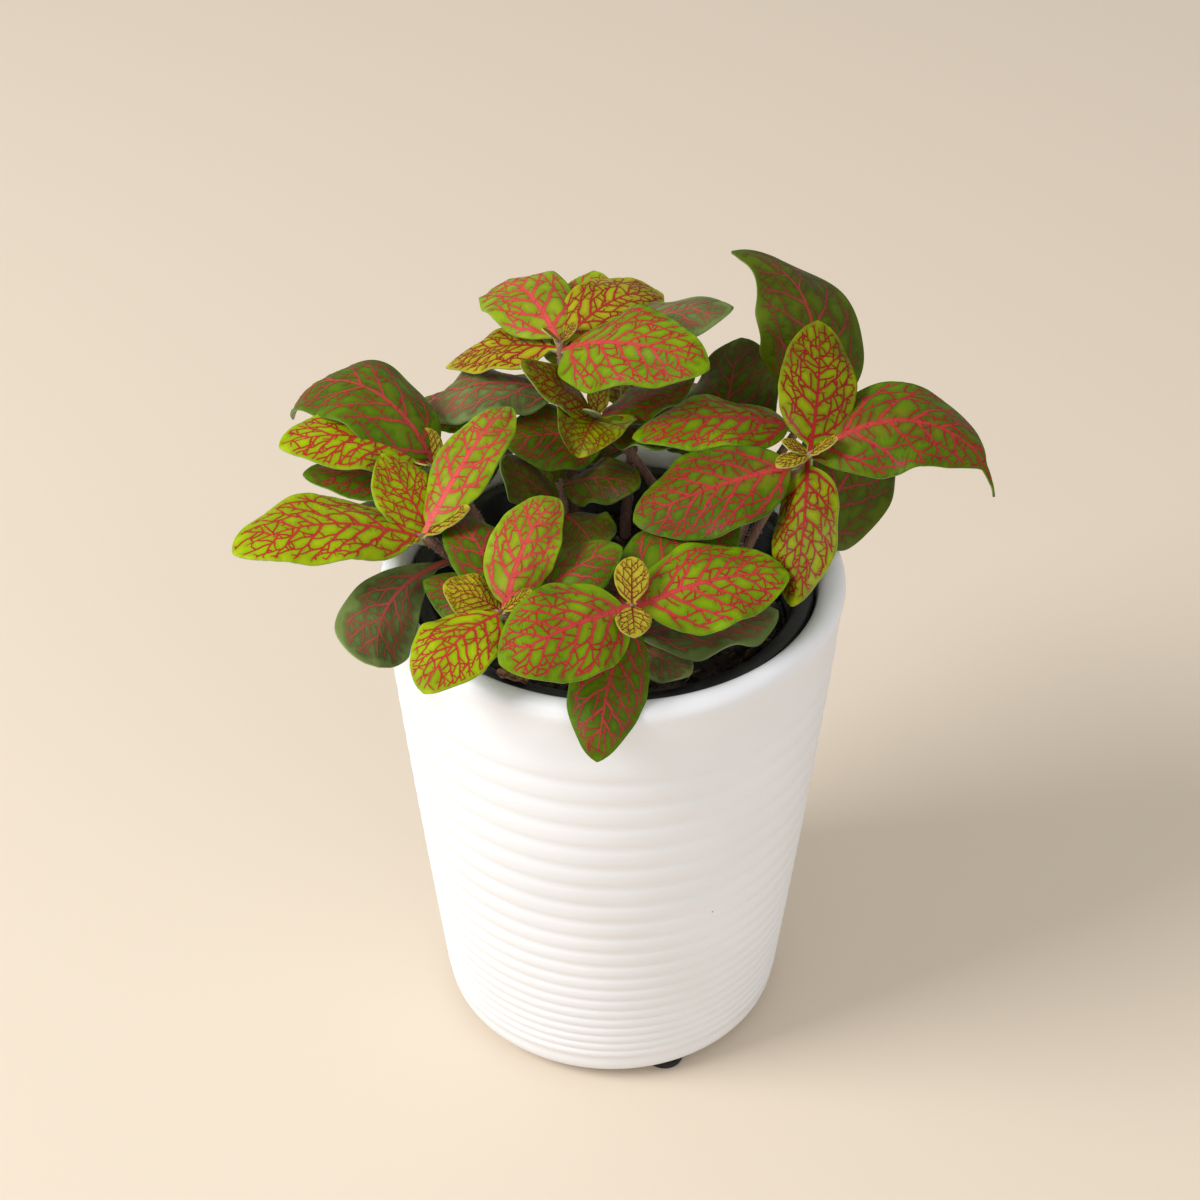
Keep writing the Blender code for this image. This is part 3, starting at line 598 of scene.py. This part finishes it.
LEAF_THICKNESS = 0.45
STALK_SHARE = 0.07
STALK_HALF = 1.1
STALK_ROUND = 1.5
TIP_HALF = 0.3
TAIL_FROM = 0.86
FULL_GROWN = 42.0
VEIN_STEP = 0.7
VEIN_FLATTEN = 26
VEIN_WANDER = 9
VEIN_SWING = 5.5
VEIN_JITTER = 7
SIDE_STRENGTH = 0.7
FORK_PLACES = (0.3, 0.5, 0.68, 0.84)
FORK_PLACES_SMALL = (0.5, 0.75)
FORK_SPREAD = (32, 46)
FORK_STRENGTH = 0.45
TWIG_SPREAD = (50, 80)
TWIG_REACH = 4.5
TWIG_SHORT = (0.7, 1.6)
TWIG_STRENGTH = 0.15
VEIN_FADE = 0.45
VEIN_EDGE_FADE = 0.3
VEIN_LIFT = 0.08
VEIN_TROUGH = 0.36
VEIN_TROUGH_REACH = 0.95
LEAF_UNEVEN = 0.7
EDGE_UNEVEN = 0.07
UNDERSIDE = "#A9B78A"
SKIN_GRAIN = 1.43
SKIN_PATCHES = 11.1
SAP_PATCHES = 4.55
STEM_FOOT = 138.0
STEM_UPRIGHT = 4.0
STEM_BOW = 4.0
STEM_BOW_SHARE = 0.25
STEM_RADIUS_LOW = 1.8
STEM_RADIUS_HIGH = 1.25
STEM_JOINT = 0.35
HAIRS_PER_STEM = 260
HAIR_LENGTH = 0.9
HAIR_RADIUS = 0.06
BARK_STREAKS = (0.91, 0.91, 6.25)
DOWN_SHADES = 2.5


def leaf_finish(name, look):
    """Soft waxy skin of a living leaf, puffed up between the veins, with painted shade along the veins
    and a painted highlight on the puffs between them. on_leaf holds the share of the length, the
    distance to the nearest vein in millimetres, and 1 on the underside."""
    tree, coords = new_finish(f"{name}_leaf_skin")[1:]
    on_leaf = add(tree, "Attribute", {"attribute_name": "on_leaf"}, {}).outputs["Vector"]
    on_leaf = add(tree, "SeparateXYZ", {}, {0: on_leaf})
    from_rib = add(tree, "Attribute", {"attribute_name": "from_rib"}, {}).outputs["Fac"]
    puckers = add(tree, "TexNoise", {}, {"Vector": coords, "Scale": 1000 / SKIN_GRAIN, "Detail": 2})
    patches = add(tree, "TexNoise", {}, {"Vector": coords, "Scale": 1000 / SKIN_PATCHES, "Detail": 2})
    # Away from the veins the bump raises the skin, and the same share paints a highlight on the puffs and
    # painted shade along the veins.
    puff_height_and_painted_light = add(tree, "MapRange", {}, {"Value": on_leaf.outputs["Y"], "From Min": 0.2, "From Max": 1.5})
    mottle = add(tree, "MapRange", {}, {"Value": patches, "From Min": 0.3, "From Max": 0.7})
    relief = add(tree, "Math", {"operation": "MULTIPLY_ADD"}, {0: puckers, 1: 0.35, 2: puff_height_and_painted_light})
    # The green is half painted light, from painted shade by the veins to a painted highlight on the puffs,
    # and half random mottling.
    painted_light_and_mottle = add(tree, "Math", {"operation": "MULTIPLY"}, {0: puff_height_and_painted_light, 1: 0.5})
    painted_light_and_mottle = add(tree, "Math", {"operation": "MULTIPLY_ADD"}, {0: mottle, 1: 0.5, 2: painted_light_and_mottle})
    green = add(tree, "Mix", COLOURS, {
        0: painted_light_and_mottle, 6: linear(look["shade"]), 7: linear(look["light"])})
    flush = add(tree, "MapRange", {}, {
        "Value": from_rib, "From Min": 0.5, "From Max": 5.5, "To Min": look["blush"], "To Max": 0})
    basal = add(tree, "Math", {"operation": "SUBTRACT"}, {0: 1.0, 1: on_leaf.outputs["X"]})
    flush = add(tree, "Math", {"operation": "MULTIPLY"}, {0: flush, 1: basal})
    halo = add(tree, "MapRange", {"interpolation_type": "SMOOTHSTEP"}, {
        "Value": on_leaf.outputs["Y"], "From Min": 0.1, "From Max": 0.5, "To Min": 0.25, "To Max": 0})
    flush = add(tree, "Math", {"operation": "MAXIMUM"}, {0: flush, 1: halo})
    upper = add(tree, "Mix", COLOURS, {0: flush, 6: green, 7: linear(look["vein"])})
    skin = add(tree, "Mix", COLOURS, {
        0: on_leaf.outputs["Z"], 6: upper, 7: linear(UNDERSIDE)})
    close_finish(tree, add(tree, "BsdfPrincipled", {}, {
        "Base Color": skin, "IOR": 1.42, "Specular IOR Level": 0.14,
        "Roughness": add(tree, "MapRange", {}, {"Value": patches, "To Min": 0.38, "To Max": 0.54}),
        "Subsurface Weight": 0.08, "Subsurface Radius": (0.3, 0.6, 0.15), "Subsurface Scale": MM,
        "Normal": add(tree, "Bump", {}, {"Height": relief, "Strength": 0.7, "Distance": 0.0004})}))


def vein_finish(name, look):
    """The skin over the veins, full of red sap: on_leaf holds the share of the length and the
    vein's strength, and the strong veins are pinker than the fine ones."""
    tree, coords = new_finish(f"{name}_leaf_veins")[1:]
    on_leaf = add(tree, "Attribute", {"attribute_name": "on_leaf"}, {}).outputs["Vector"]
    on_leaf = add(tree, "SeparateXYZ", {}, {0: on_leaf})
    patches = add(tree, "TexNoise", {}, {"Vector": coords, "Scale": 1000 / SAP_PATCHES, "Detail": 2})
    pinker = add(tree, "Math", {"operation": "MULTIPLY_ADD"}, {0: patches, 1: 0.5, 2: -0.25})
    pinker = add(tree, "Math", {"operation": "ADD"}, {0: pinker, 1: on_leaf.outputs["Y"]})
    red = add(tree, "Mix", COLOURS, {
        0: pinker, 6: linear(look["lines"]), 7: linear(look["vein"])})
    close_finish(tree, add(tree, "BsdfPrincipled", {}, {
        "Base Color": red, "IOR": 1.42, "Roughness": 0.5, "Specular IOR Level": 0.25,
        "Subsurface Weight": 0.05, "Subsurface Radius": (0.6, 0.2, 0.15), "Subsurface Scale": MM}))


def stem_path(stem, steps=28):
    """A stem goes straight up out of the soil, then leans over to its crown."""
    low = Vector((*stem["foot"], SOIL_TOP + STEM_UPRIGHT))
    crown = Vector(stem["crown"])
    knee = low.lerp(crown, STEM_BOW_SHARE)
    knee.z = (low.z + crown.z) / 2 + STEM_BOW
    path = [Vector((*stem["foot"], STEM_FOOT)), Vector((*stem["foot"], SOIL_TOP - 1))]
    for number in range(steps + 1):
        t = number / steps
        path.append((1 - t) ** 2 * low + 2 * t * (1 - t) * knee + t * t * crown)
    return path


def point_below_crown(path, distance):
    for upper, lower in zip(path[:0:-1], path[-2::-1]):
        length = (upper - lower).length
        if distance <= length:
            return upper.lerp(lower, distance / length)
        distance -= length
    return path[0]


def blade_half_width(t, width, form):
    """Half the blade's width at share t of its length: a stalk, an oval, and its pointed end."""
    s = max(0.0, (t - STALK_SHARE) / (1 - STALK_SHARE))
    least = STALK_HALF if t < 0.5 else max(TIP_HALF, width * form["tail"] * (1 - s))
    if form["tail"]:
        s = min(1.0, s / TAIL_FROM)
    rise = form["base"]
    tip = form["tip"]
    peak = (rise / (rise + tip)) ** rise * (tip / (rise + tip)) ** tip
    return max(width / 2 * s ** rise * (1 - s) ** tip / peak, least)


def blade_spine(base, heading, rise, length, droop, sweep, roll, steps):
    """Points, side directions and normals along a midrib that bends down and to one side."""
    place = Vector(base)
    spine = []
    before = None
    for number in range(steps + 1):
        t = number / steps
        pitch = radians(rise - droop * t ** 1.5)
        turn = radians(heading + sweep * t)
        ahead = Vector((cos(pitch) * cos(turn), cos(pitch) * sin(turn), sin(pitch)))
        if before:
            place = place + (ahead + before) / 2 * length / steps
        before = ahead
        side = Vector((-sin(turn), cos(turn), 0))
        up = ahead.cross(side)
        lean = radians(roll)
        spine.append((place.copy(), cos(lean) * side + sin(lean) * up, cos(lean) * up - sin(lean) * side))
    return spine


class Veins:
    """The veins of one leaf, grown in the plane of its blade: x runs along the midrib and y across
    it, in millimetres, and a vein is its points, its half widths and its strength."""

    def __init__(self, length, half_at, look, scale, seed):
        self.length = length
        self.half_at = half_at
        self.look = look
        self.scale = scale
        self.draw = random.Random(seed)
        self.grown = []
        self.taken = []
        self.grow()

    def walk(self, start, angle, side, reach, turn_to, joins):
        """Walk from a point at an angle to the midrib until the rim, the reach or another vein."""
        x, y = start
        step = VEIN_STEP * self.scale
        points = [start]
        phase = self.draw.uniform(0, 2 * pi)
        for number in range(int(reach / step) + 1):
            share = abs(y) / max(0.1, self.half_at(x))
            slope = angle + (turn_to - angle) * min(1, share) ** 1.5
            slope += VEIN_WANDER * sin(phase + 2 * pi * number * VEIN_STEP / VEIN_SWING)
            slope += self.draw.uniform(-VEIN_JITTER, VEIN_JITTER)
            x += step * cos(radians(slope))
            y += side * step * sin(radians(slope))
            room = min(self.half_at(x) - abs(y), 0.8 * (self.length - x))
            if room < self.look["margin"] * self.scale or x < 0 or y * side < 0.05:
                break
            points.append((x, y))
            met = number > 0 and joins and self.near(x, y, 0.62 * step)
            if met:
                points[-1] = met
                break
        return points

    def near(self, x, y, distance):
        """The first point of another vein within a distance."""
        for px, py in self.taken:
            if abs(px - x) < distance and abs(py - y) < distance:
                return px, py
        return None

    def keep(self, points, first, last, strength):
        """Add a vein that tapers from its first half width to its last."""
        count = len(points) - 1
        halves = [self.scale * (first + (last - first) * i / count) for i in range(count + 1)]
        self.grown.append((points, halves, strength))
        self.taken += points

    def slope(self, path, spot, side):
        (ax, ay), (bx, by) = path[spot - 1], path[min(spot + 1, len(path) - 1)]
        return degrees(atan2(side * (by - ay), bx - ax))

    def grow(self):
        """The midrib, its side veins, their forks, and small twigs on all of them."""
        look, draw = self.look, self.draw
        steps = max(6, int(self.length / self.scale))
        rib = [(self.length * (0.97 * i / steps - 0.05), 0) for i in range(steps + 1)]
        self.keep(rib, look["rib"], look["rib"] * 0.16, 1)
        pitch = 0.84 * self.length / look["pairs"]
        sides = []
        for side in (1, -1):
            for number in range(look["pairs"]):
                x = pitch * (number + 0.2 + (0.34 if side < 0 else 0) + draw.uniform(-0.1, 0.1))
                slant = look["slant"] + (12 if number == 0 else -8 * number / look["pairs"])
                slant += draw.uniform(-4, 4)
                path = self.walk((x, 0.06 * side), slant, side, self.length, VEIN_FLATTEN, False)
                if len(path) > 3:
                    width = look["side"] * (1 - 0.4 * number / look["pairs"])
                    self.keep(path, width, width * 0.4, SIDE_STRENGTH)
                    sides.append((path, side, width))
        forks = []
        for path, side, width in sides:
            hand = draw.choice((-1, 1))
            for where in FORK_PLACES if self.scale > 0.6 else FORK_PLACES_SMALL:
                spot = int(where * len(path) + draw.uniform(-0.8, 0.8))
                hand = -hand
                if 1 < spot < len(path) - 1:
                    slope = self.slope(path, spot, side) + hand * draw.uniform(*FORK_SPREAD)
                    bend = max(5, min(60, slope))
                    fork = self.walk(path[spot], slope, side, 0.3 * self.length, bend, True)
                    if len(fork) > 2:
                        self.keep(fork, width * (0.75 - 0.3 * where), look["line"] * 0.7, FORK_STRENGTH)
                        forks.append((fork, side))
        for path, side in [(rib[1:], 1), (rib[1:], -1)] + [vein[:2] for vein in sides] + forks:
            self.grow_twigs(path, side)

    def grow_twigs(self, path, side):
        """Small veins on both sides of a strong one, some as far as the next vein, some short."""
        look, scale, draw = self.look, self.scale, self.draw
        mesh = look["mesh"] * sqrt(scale)
        travelled = 0
        due = mesh * draw.uniform(0.3, 0.9)
        hand = 1
        for spot in range(1, len(path)):
            (ax, ay), (bx, by) = path[spot - 1], path[spot]
            travelled += hypot(bx - ax, by - ay)
            if travelled < due or (bx > 0.72 * self.length and draw.random() < 0.4):
                continue
            due = travelled + mesh * draw.uniform(0.6, 1.1)
            hand = -hand
            meets = draw.random() < look["closed"] and abs(ay) < 0.72 * self.half_at(ax)
            slope = draw.uniform(*TWIG_SPREAD) * (1 if ay == 0 else hand)
            if ay != 0:
                slope += self.slope(path, spot, side)
            reach = scale * (TWIG_REACH if meets else draw.uniform(*TWIG_SHORT))
            twig = self.walk((bx, by), slope, side, reach, slope, True)
            if len(twig) > 1:
                self.keep(twig, look["line"], look["line"] * (0.75 if meets else 0.3), TWIG_STRENGTH)


def leaf_marks(bm):
    """The two attributes that a leaf's skin and veins read."""
    return bm.verts.layers.float_vector.new("on_leaf"), bm.verts.layers.float.new("from_rib")


def grow_blade(base, leaf, number, skins):
    """Bend a fine grid to one leaf, puckered between its veins, with its second face and stalk,
    and lay each vein on it as a narrow strip."""
    heading, rise, length, width, droop, sweep, roll, kind, colouring = leaf[1:]
    form = LEAF_FORMS[kind]
    look = LEAF_LOOKS[colouring]
    along, across = (60, 40) if length > 30 else (40, 28) if length > 16 else (24, 16)
    spine = blade_spine(base, heading, rise, length, droop, sweep, roll, along)
    blade_length = length * (1 - STALK_SHARE)
    scale = min(1.1, max(0.28, length / FULL_GROWN))

    def half_at(x):
        return blade_half_width(STALK_SHARE + (1 - STALK_SHARE) * x / blade_length, width, form)

    veins = Veins(blade_length, half_at, look, scale, number)
    nearest = kdtree.KDTree(len(veins.taken))
    for point in veins.taken:
        nearest.insert((*point, 0), 0)
    nearest.balance()

    def surface(t, v):
        """A point of the upper face, the direction off it, half the width, and the nearest vein."""
        place = min(along - 1e-6, max(0, t * along))
        row = int(place)
        share = place - row
        point, side, up = (a.lerp(b, share) for a, b in zip(spine[row], spine[row + 1]))
        half = blade_half_width(t, width, form)
        half *= 1 + EDGE_UNEVEN * abs(v) * noise.noise(Vector((t * 7, 9 if v > 0 else 2, number * 1.3)))
        x = blade_length * (t - STALK_SHARE) / (1 - STALK_SHARE)
        near = nearest.find((x, v * half, 0))[2] / scale
        turn = radians(form["cup"] * abs(v))
        wave = form["wave"] * half / 10 * v * v * sin(4.4 * pi * t + (1.6 if v > 0 else 0))
        bumps = noise.noise(Vector((t * 3.1, v * 1.7, number * 3.7))) * min(1, abs(v) * half / 3)
        bumps *= LEAF_UNEVEN * scale
        trough = VEIN_TROUGH * scale * exp(-(near / VEIN_TROUGH_REACH) ** 2) * min(1, max(0, t / 0.2))
        lift = half * abs(v) * sin(turn) + wave + bumps - trough + LEAF_THICKNESS / 2
        return point + side * half * v * cos(turn) + up * lift, up, half, near

    bm = bmesh.new()
    on_leaf, from_rib = leaf_marks(bm)
    upper = bmesh.ops.create_grid(bm, x_segments=along, y_segments=across, size=0.5)["verts"]
    second = bmesh.ops.extrude_face_region(bm, geom=bm.faces[:], use_keep_orig=True)
    lower = [part for part in second["geom"] if isinstance(part, bmesh.types.BMVert)]
    for face in bm.faces:
        face.material_index = skins.index(f"{colouring}_leaf_skin")
    net = {}
    for vert in upper:
        t, v = vert.co.x + 0.5, 2 * vert.co.y
        point, up, half, near = surface(t, v)
        net[round(t * along), round((v + 1) / 2 * across)] = point, up, half, near
        vert[on_leaf] = (t, near, 0)
        vert[from_rib] = abs(v) * half / scale
    for vert in lower:
        t, v = vert.co.x + 0.5, 2 * vert.co.y
        point, up, half, near = net[round(t * along), round((v + 1) / 2 * across)]
        stalk = STALK_ROUND * max(0, 1 - t / 0.16) * sqrt(max(0, 1 - v * v))
        ridge = 0.7 * exp(-(v * half / 0.8) ** 2) * (1 - 0.8 * t)
        vert.co = (point - up * (LEAF_THICKNESS + (stalk + ridge) * scale)) * MM
        vert[on_leaf] = (t, near, 1)
        vert[from_rib] = 9
    for vert in upper:
        vert.co = net[round((vert.co.x + 0.5) * along), round((vert.co.y + 0.5) * across)][0] * MM

    for points, halves, strength in veins.grown:
        lanes = 2 if max(halves) > 0.25 else 1
        strip = bmesh.ops.create_grid(bm, x_segments=len(points) - 1, y_segments=lanes, size=0.5)["verts"]
        for face in {face for vert in strip for face in vert.link_faces}:
            face.material_index = skins.index(f"{colouring}_leaf_veins")
        for vert in strip:
            spot = round((vert.co.x + 0.5) * (len(points) - 1))
            (ax, ay), (bx, by) = points[max(0, spot - 1)], points[min(len(points) - 1, spot + 1)]
            reach = max(1e-6, hypot(bx - ax, by - ay))
            off = 2 * vert.co.y
            out = off * halves[spot]
            x = points[spot][0] - out * (by - ay) / reach
            y = points[spot][1] + out * (bx - ax) / reach
            t = min(0.999, max(0.001, STALK_SHARE + (1 - STALK_SHARE) * x / blade_length))
            v = min(0.97, max(-0.97, y / blade_half_width(t, width, form)))
            across_at = (v + 1) / 2 * across
            i, j = int(t * along), int(across_at)
            p, q = t * along - i, across_at - j
            near_side = net[i, j][0].lerp(net[i + 1, j][0], p)
            far_side = net[i, j + 1][0].lerp(net[i + 1, j + 1][0], p)
            vert.co = (near_side.lerp(far_side, q) + net[i, j][1] * VEIN_LIFT) * MM
            faded = strength * (1 - VEIN_FADE * spot / (len(points) - 1)) - VEIN_EDGE_FADE * abs(off)
            vert[on_leaf] = (t, faded, 0)
    return bm


def stem_mesh(path, joints):
    """A downy stem as a bevelled curve, a little swollen where each pair of leaves leaves it."""
    line = bpy.data.curves.new("stem", "CURVE")
    line.dimensions = "3D"
    line.bevel_depth = MM
    line.bevel_resolution = 3
    line.use_fill_caps = True
    thread = line.splines.new("POLY")
    thread.points.add(len(path) - 1)
    spots = [point_below_crown(path, distance) for distance in joints]
    for number, (point, place) in enumerate(zip(thread.points, path)):
        share = number / (len(path) - 1)
        swelling = sum(exp(-((place - spot).length / 1.3) ** 2) for spot in spots)
        point.co = (*(place * MM), 1)
        point.radius = STEM_RADIUS_LOW + (STEM_RADIUS_HIGH - STEM_RADIUS_LOW) * share
        point.radius += STEM_JOINT * min(1, swelling)
        point.radius *= min(1, 0.15 + (place - path[-1]).length / 4)
    guide = bpy.data.objects.new("stem", line)
    bpy.context.scene.collection.objects.link(guide)
    graph = bpy.context.evaluated_depsgraph_get()
    mesh = bpy.data.meshes.new_from_object(guide.evaluated_get(graph), depsgraph=graph)
    bpy.data.objects.remove(guide)
    return mesh


def stem_hairs(path, seed):
    """Fine pale hairs that stand out all round a stem, each a three-sided spike."""
    draw = random.Random(seed)
    bm = bmesh.new()
    top = sum((b - a).length for a, b in zip(path, path[1:])) - (SOIL_TOP - STEM_FOOT) - 3
    for number in range(HAIRS_PER_STEM):
        distance = draw.uniform(0, top)
        spot = point_below_crown(path, distance)
        above = point_below_crown(path, max(0, distance - 1))
        axis = (above - spot).normalized() if distance > 1 else Vector((0, 0, 1))
        out = axis.orthogonal().normalized()
        out.rotate(Matrix.Rotation(draw.uniform(0, 2 * pi), 3, axis))
        lean = (out + axis * draw.uniform(-0.2, 0.5)).normalized()
        length = HAIR_LENGTH * draw.uniform(0.6, 1.3)
        middle = spot + out * STEM_RADIUS_HIGH + lean * length / 2
        turn = lean.to_track_quat("Z", "Y").to_matrix().to_4x4()
        bmesh.ops.create_cone(bm, segments=3, radius1=HAIR_RADIUS * MM, radius2=0.2 * HAIR_RADIUS * MM,
                              depth=length * MM, matrix=Matrix.Translation(middle * MM) @ turn)
    return bm


# Downy skin of a nerve plant's stem: brown and streaked lengthwise, lighter and pinker near the
# crown, where the wood is young.
tree, coords = new_finish("downy_stem_skin")[1:]
drawn_out = add(tree, "Mapping", {}, {"Vector": coords, "Scale": [1000 / size for size in BARK_STREAKS]})
streaks = add(tree, "TexNoise", {}, {"Vector": drawn_out, "Scale": 1, "Detail": 3})
height = add(tree, "SeparateXYZ", {}, {0: coords})
young = add(tree, "MapRange", {}, {"Value": height.outputs["Z"], "From Min": 0.150, "From Max": 0.205})
old_bark = add(tree, "Mix", COLOURS, {0: streaks, 6: linear("#46302A"), 7: linear("#8E6A5C")})
young_bark = add(tree, "Mix", COLOURS, {
    0: streaks, 6: linear("#6E4038"), 7: linear("#A8866E")})
tone = add(tree, "Mix", COLOURS, {0: young, 6: old_bark, 7: young_bark})
close_finish(tree, add(tree, "BsdfPrincipled", {}, {
    "Base Color": tone, "Roughness": 0.62,
    "Normal": add(tree, "Bump", {}, {"Height": streaks, "Strength": 0.5, "Distance": 0.0002})}))

# Plant hair: thin, dry and nearly white.
tree, coords = new_finish("plant_down")[1:]
shades = add(tree, "TexNoise", {}, {"Vector": coords, "Scale": 1000 / DOWN_SHADES})
tone = add(tree, "Mix", COLOURS, {0: shades, 6: linear("#C9B8A6"), 7: linear("#F0E8DC")})
close_finish(tree, add(tree, "BsdfPrincipled", {}, {"Base Color": tone, "Roughness": 0.55}))

for name, look in LEAF_LOOKS.items():
    leaf_finish(name, look)
    vein_finish(name, look)

leaf_number = 0
for stem_number, (stem_name, stem) in enumerate(LEAFY_STEMS.items()):
    path = stem_path(stem)
    skins = ["downy_stem_skin", "plant_down"]
    skins += [f"{colouring}_leaf_{part}" for colouring in sorted({leaf[9] for leaf in stem["leaves"]})
              for part in ("skin", "veins")]
    bm = bmesh.new()
    leaf_marks(bm)
    mesh = stem_mesh(path + [path[-1] + (path[-1] - path[-2]).normalized()],
                     sorted({leaf[0] for leaf in stem["leaves"]}))
    bm.from_mesh(mesh)
    bpy.data.meshes.remove(mesh)
    bmesh.ops.remove_doubles(bm, verts=bm.verts, dist=0.01 * MM)
    for face in bm.faces:
        face.material_index = 0
    hairs = stem_hairs(path, stem_number)
    for face in hairs.faces:
        face.material_index = 1
    join(bm, hairs)
    bmesh.ops.recalc_face_normals(bm, faces=bm.faces)
    for leaf in stem["leaves"]:
        leaf_number += 1
        join(bm, grow_blade(point_below_crown(path, leaf[0]), leaf, leaf_number, skins))
    add_piece(f"growing_stem_{stem_name}", bm, [bpy.data.materials[skin] for skin in skins],
              [f"leafy_stem_{stem_name}"])


# The stub of an old stem that was cut off stands in the soil on the right. It has dried pale, and
# its cut end is ragged.

STUB_PLACE = (45, 12)
STUB_TOP = 154.0
STUB_RADIUS = 1.4
WOOD_CRACKS = (0.667, 0.667, 5.0)

# Dry pith and bark of a dead stem: straw-coloured, cracked lengthwise.
dry_wood, tree, coords = new_finish("dry_stem_wood")
drawn_out = add(tree, "Mapping", {}, {"Vector": coords, "Scale": [1000 / size for size in WOOD_CRACKS]})
cracks = add(tree, "TexNoise", {}, {"Vector": drawn_out, "Scale": 1, "Detail": 4})
tone = add(tree, "Mix", COLOURS, {
    0: add(tree, "MapRange", {}, {"Value": cracks, "From Min": 0.3, "From Max": 0.6}),
    6: linear("#A5937C"), 7: linear("#E4DCCD")})
close_finish(tree, add(tree, "BsdfPrincipled", {}, {
    "Base Color": tone, "Roughness": 0.8,
    "Normal": add(tree, "Bump", {}, {"Height": cracks, "Strength": 0.6, "Distance": 0.0002})}))

bm = bmesh.new()
height = STUB_TOP - STEM_FOOT
bmesh.ops.create_cone(bm, cap_ends=True, segments=20, radius1=STUB_RADIUS * MM,
                      radius2=(STUB_RADIUS - 0.2) * MM, depth=height * MM)
rounds = [edge for edge in bm.edges if abs(edge.verts[0].co.z - edge.verts[1].co.z) > 5 * MM]
bmesh.ops.subdivide_edges(bm, edges=rounds, cuts=14)
ends = [face for face in bm.faces if len(face.verts) > 4 and face.normal.z > 0.9]
bmesh.ops.inset_region(bm, faces=ends, thickness=0.35 * MM, use_even_offset=True)
bmesh.ops.translate(bm, verts=bm.verts, vec=Vector((*STUB_PLACE, STEM_FOOT + height / 2)) * MM)
for vert in bm.verts:
    ragged = noise.noise(vert.co / MM * 1.3)
    if vert.co.z > (STUB_TOP - 0.1) * MM:
        vert.co.z -= abs(ragged) * 0.9 * MM
    else:
        vert.co += Vector((ragged, noise.noise(vert.co / MM * 0.9), 0)) * 0.12 * MM
add_piece("dry_stub", bm, [dry_wood], ["cut_stub"])


# One small dead leaf has dropped on the black pot's lip at the front left. It is brown and crisp,
# and it curled as it dried.

DRY_LEAF = (0, 150, 6, 10, 5, 12, 0, 0, "bud", "bud")
DRY_LEAF_PLACE = (-24.5, -52)
DRY_FOLDS = 1.67

# Dead leaf: brown, thin and papery, darker in its folds.
dead_leaf, tree, coords = new_finish("dead_leaf")
folds = add(tree, "TexNoise", {}, {"Vector": coords, "Scale": 1000 / DRY_FOLDS, "Detail": 3})
tone = add(tree, "Mix", COLOURS, {
    0: add(tree, "MapRange", {}, {"Value": folds, "From Min": 0.35, "From Max": 0.65}),
    6: linear("#4A2C18"), 7: linear("#96704A")})
close_finish(tree, add(tree, "BsdfPrincipled", {}, {
    "Base Color": tone, "Roughness": 0.75,
    "Normal": add(tree, "Bump", {}, {"Height": folds, "Strength": 0.8, "Distance": 0.0004})}))

base = (*DRY_LEAF_PLACE, lip + CLEARANCE + 1)
bm = grow_blade(base, DRY_LEAF, 99, ["bud_leaf_skin", "bud_leaf_veins"])
for vert in bm.verts:
    vert.co.z += 0.7 * MM * noise.noise(vert.co / MM * 0.45)
bmesh.ops.recalc_face_normals(bm, faces=bm.faces)
for face in bm.faces:
    face.material_index = 0
add_piece("fallen_leaf", bm, [dead_leaf], ["dry_leaf"])
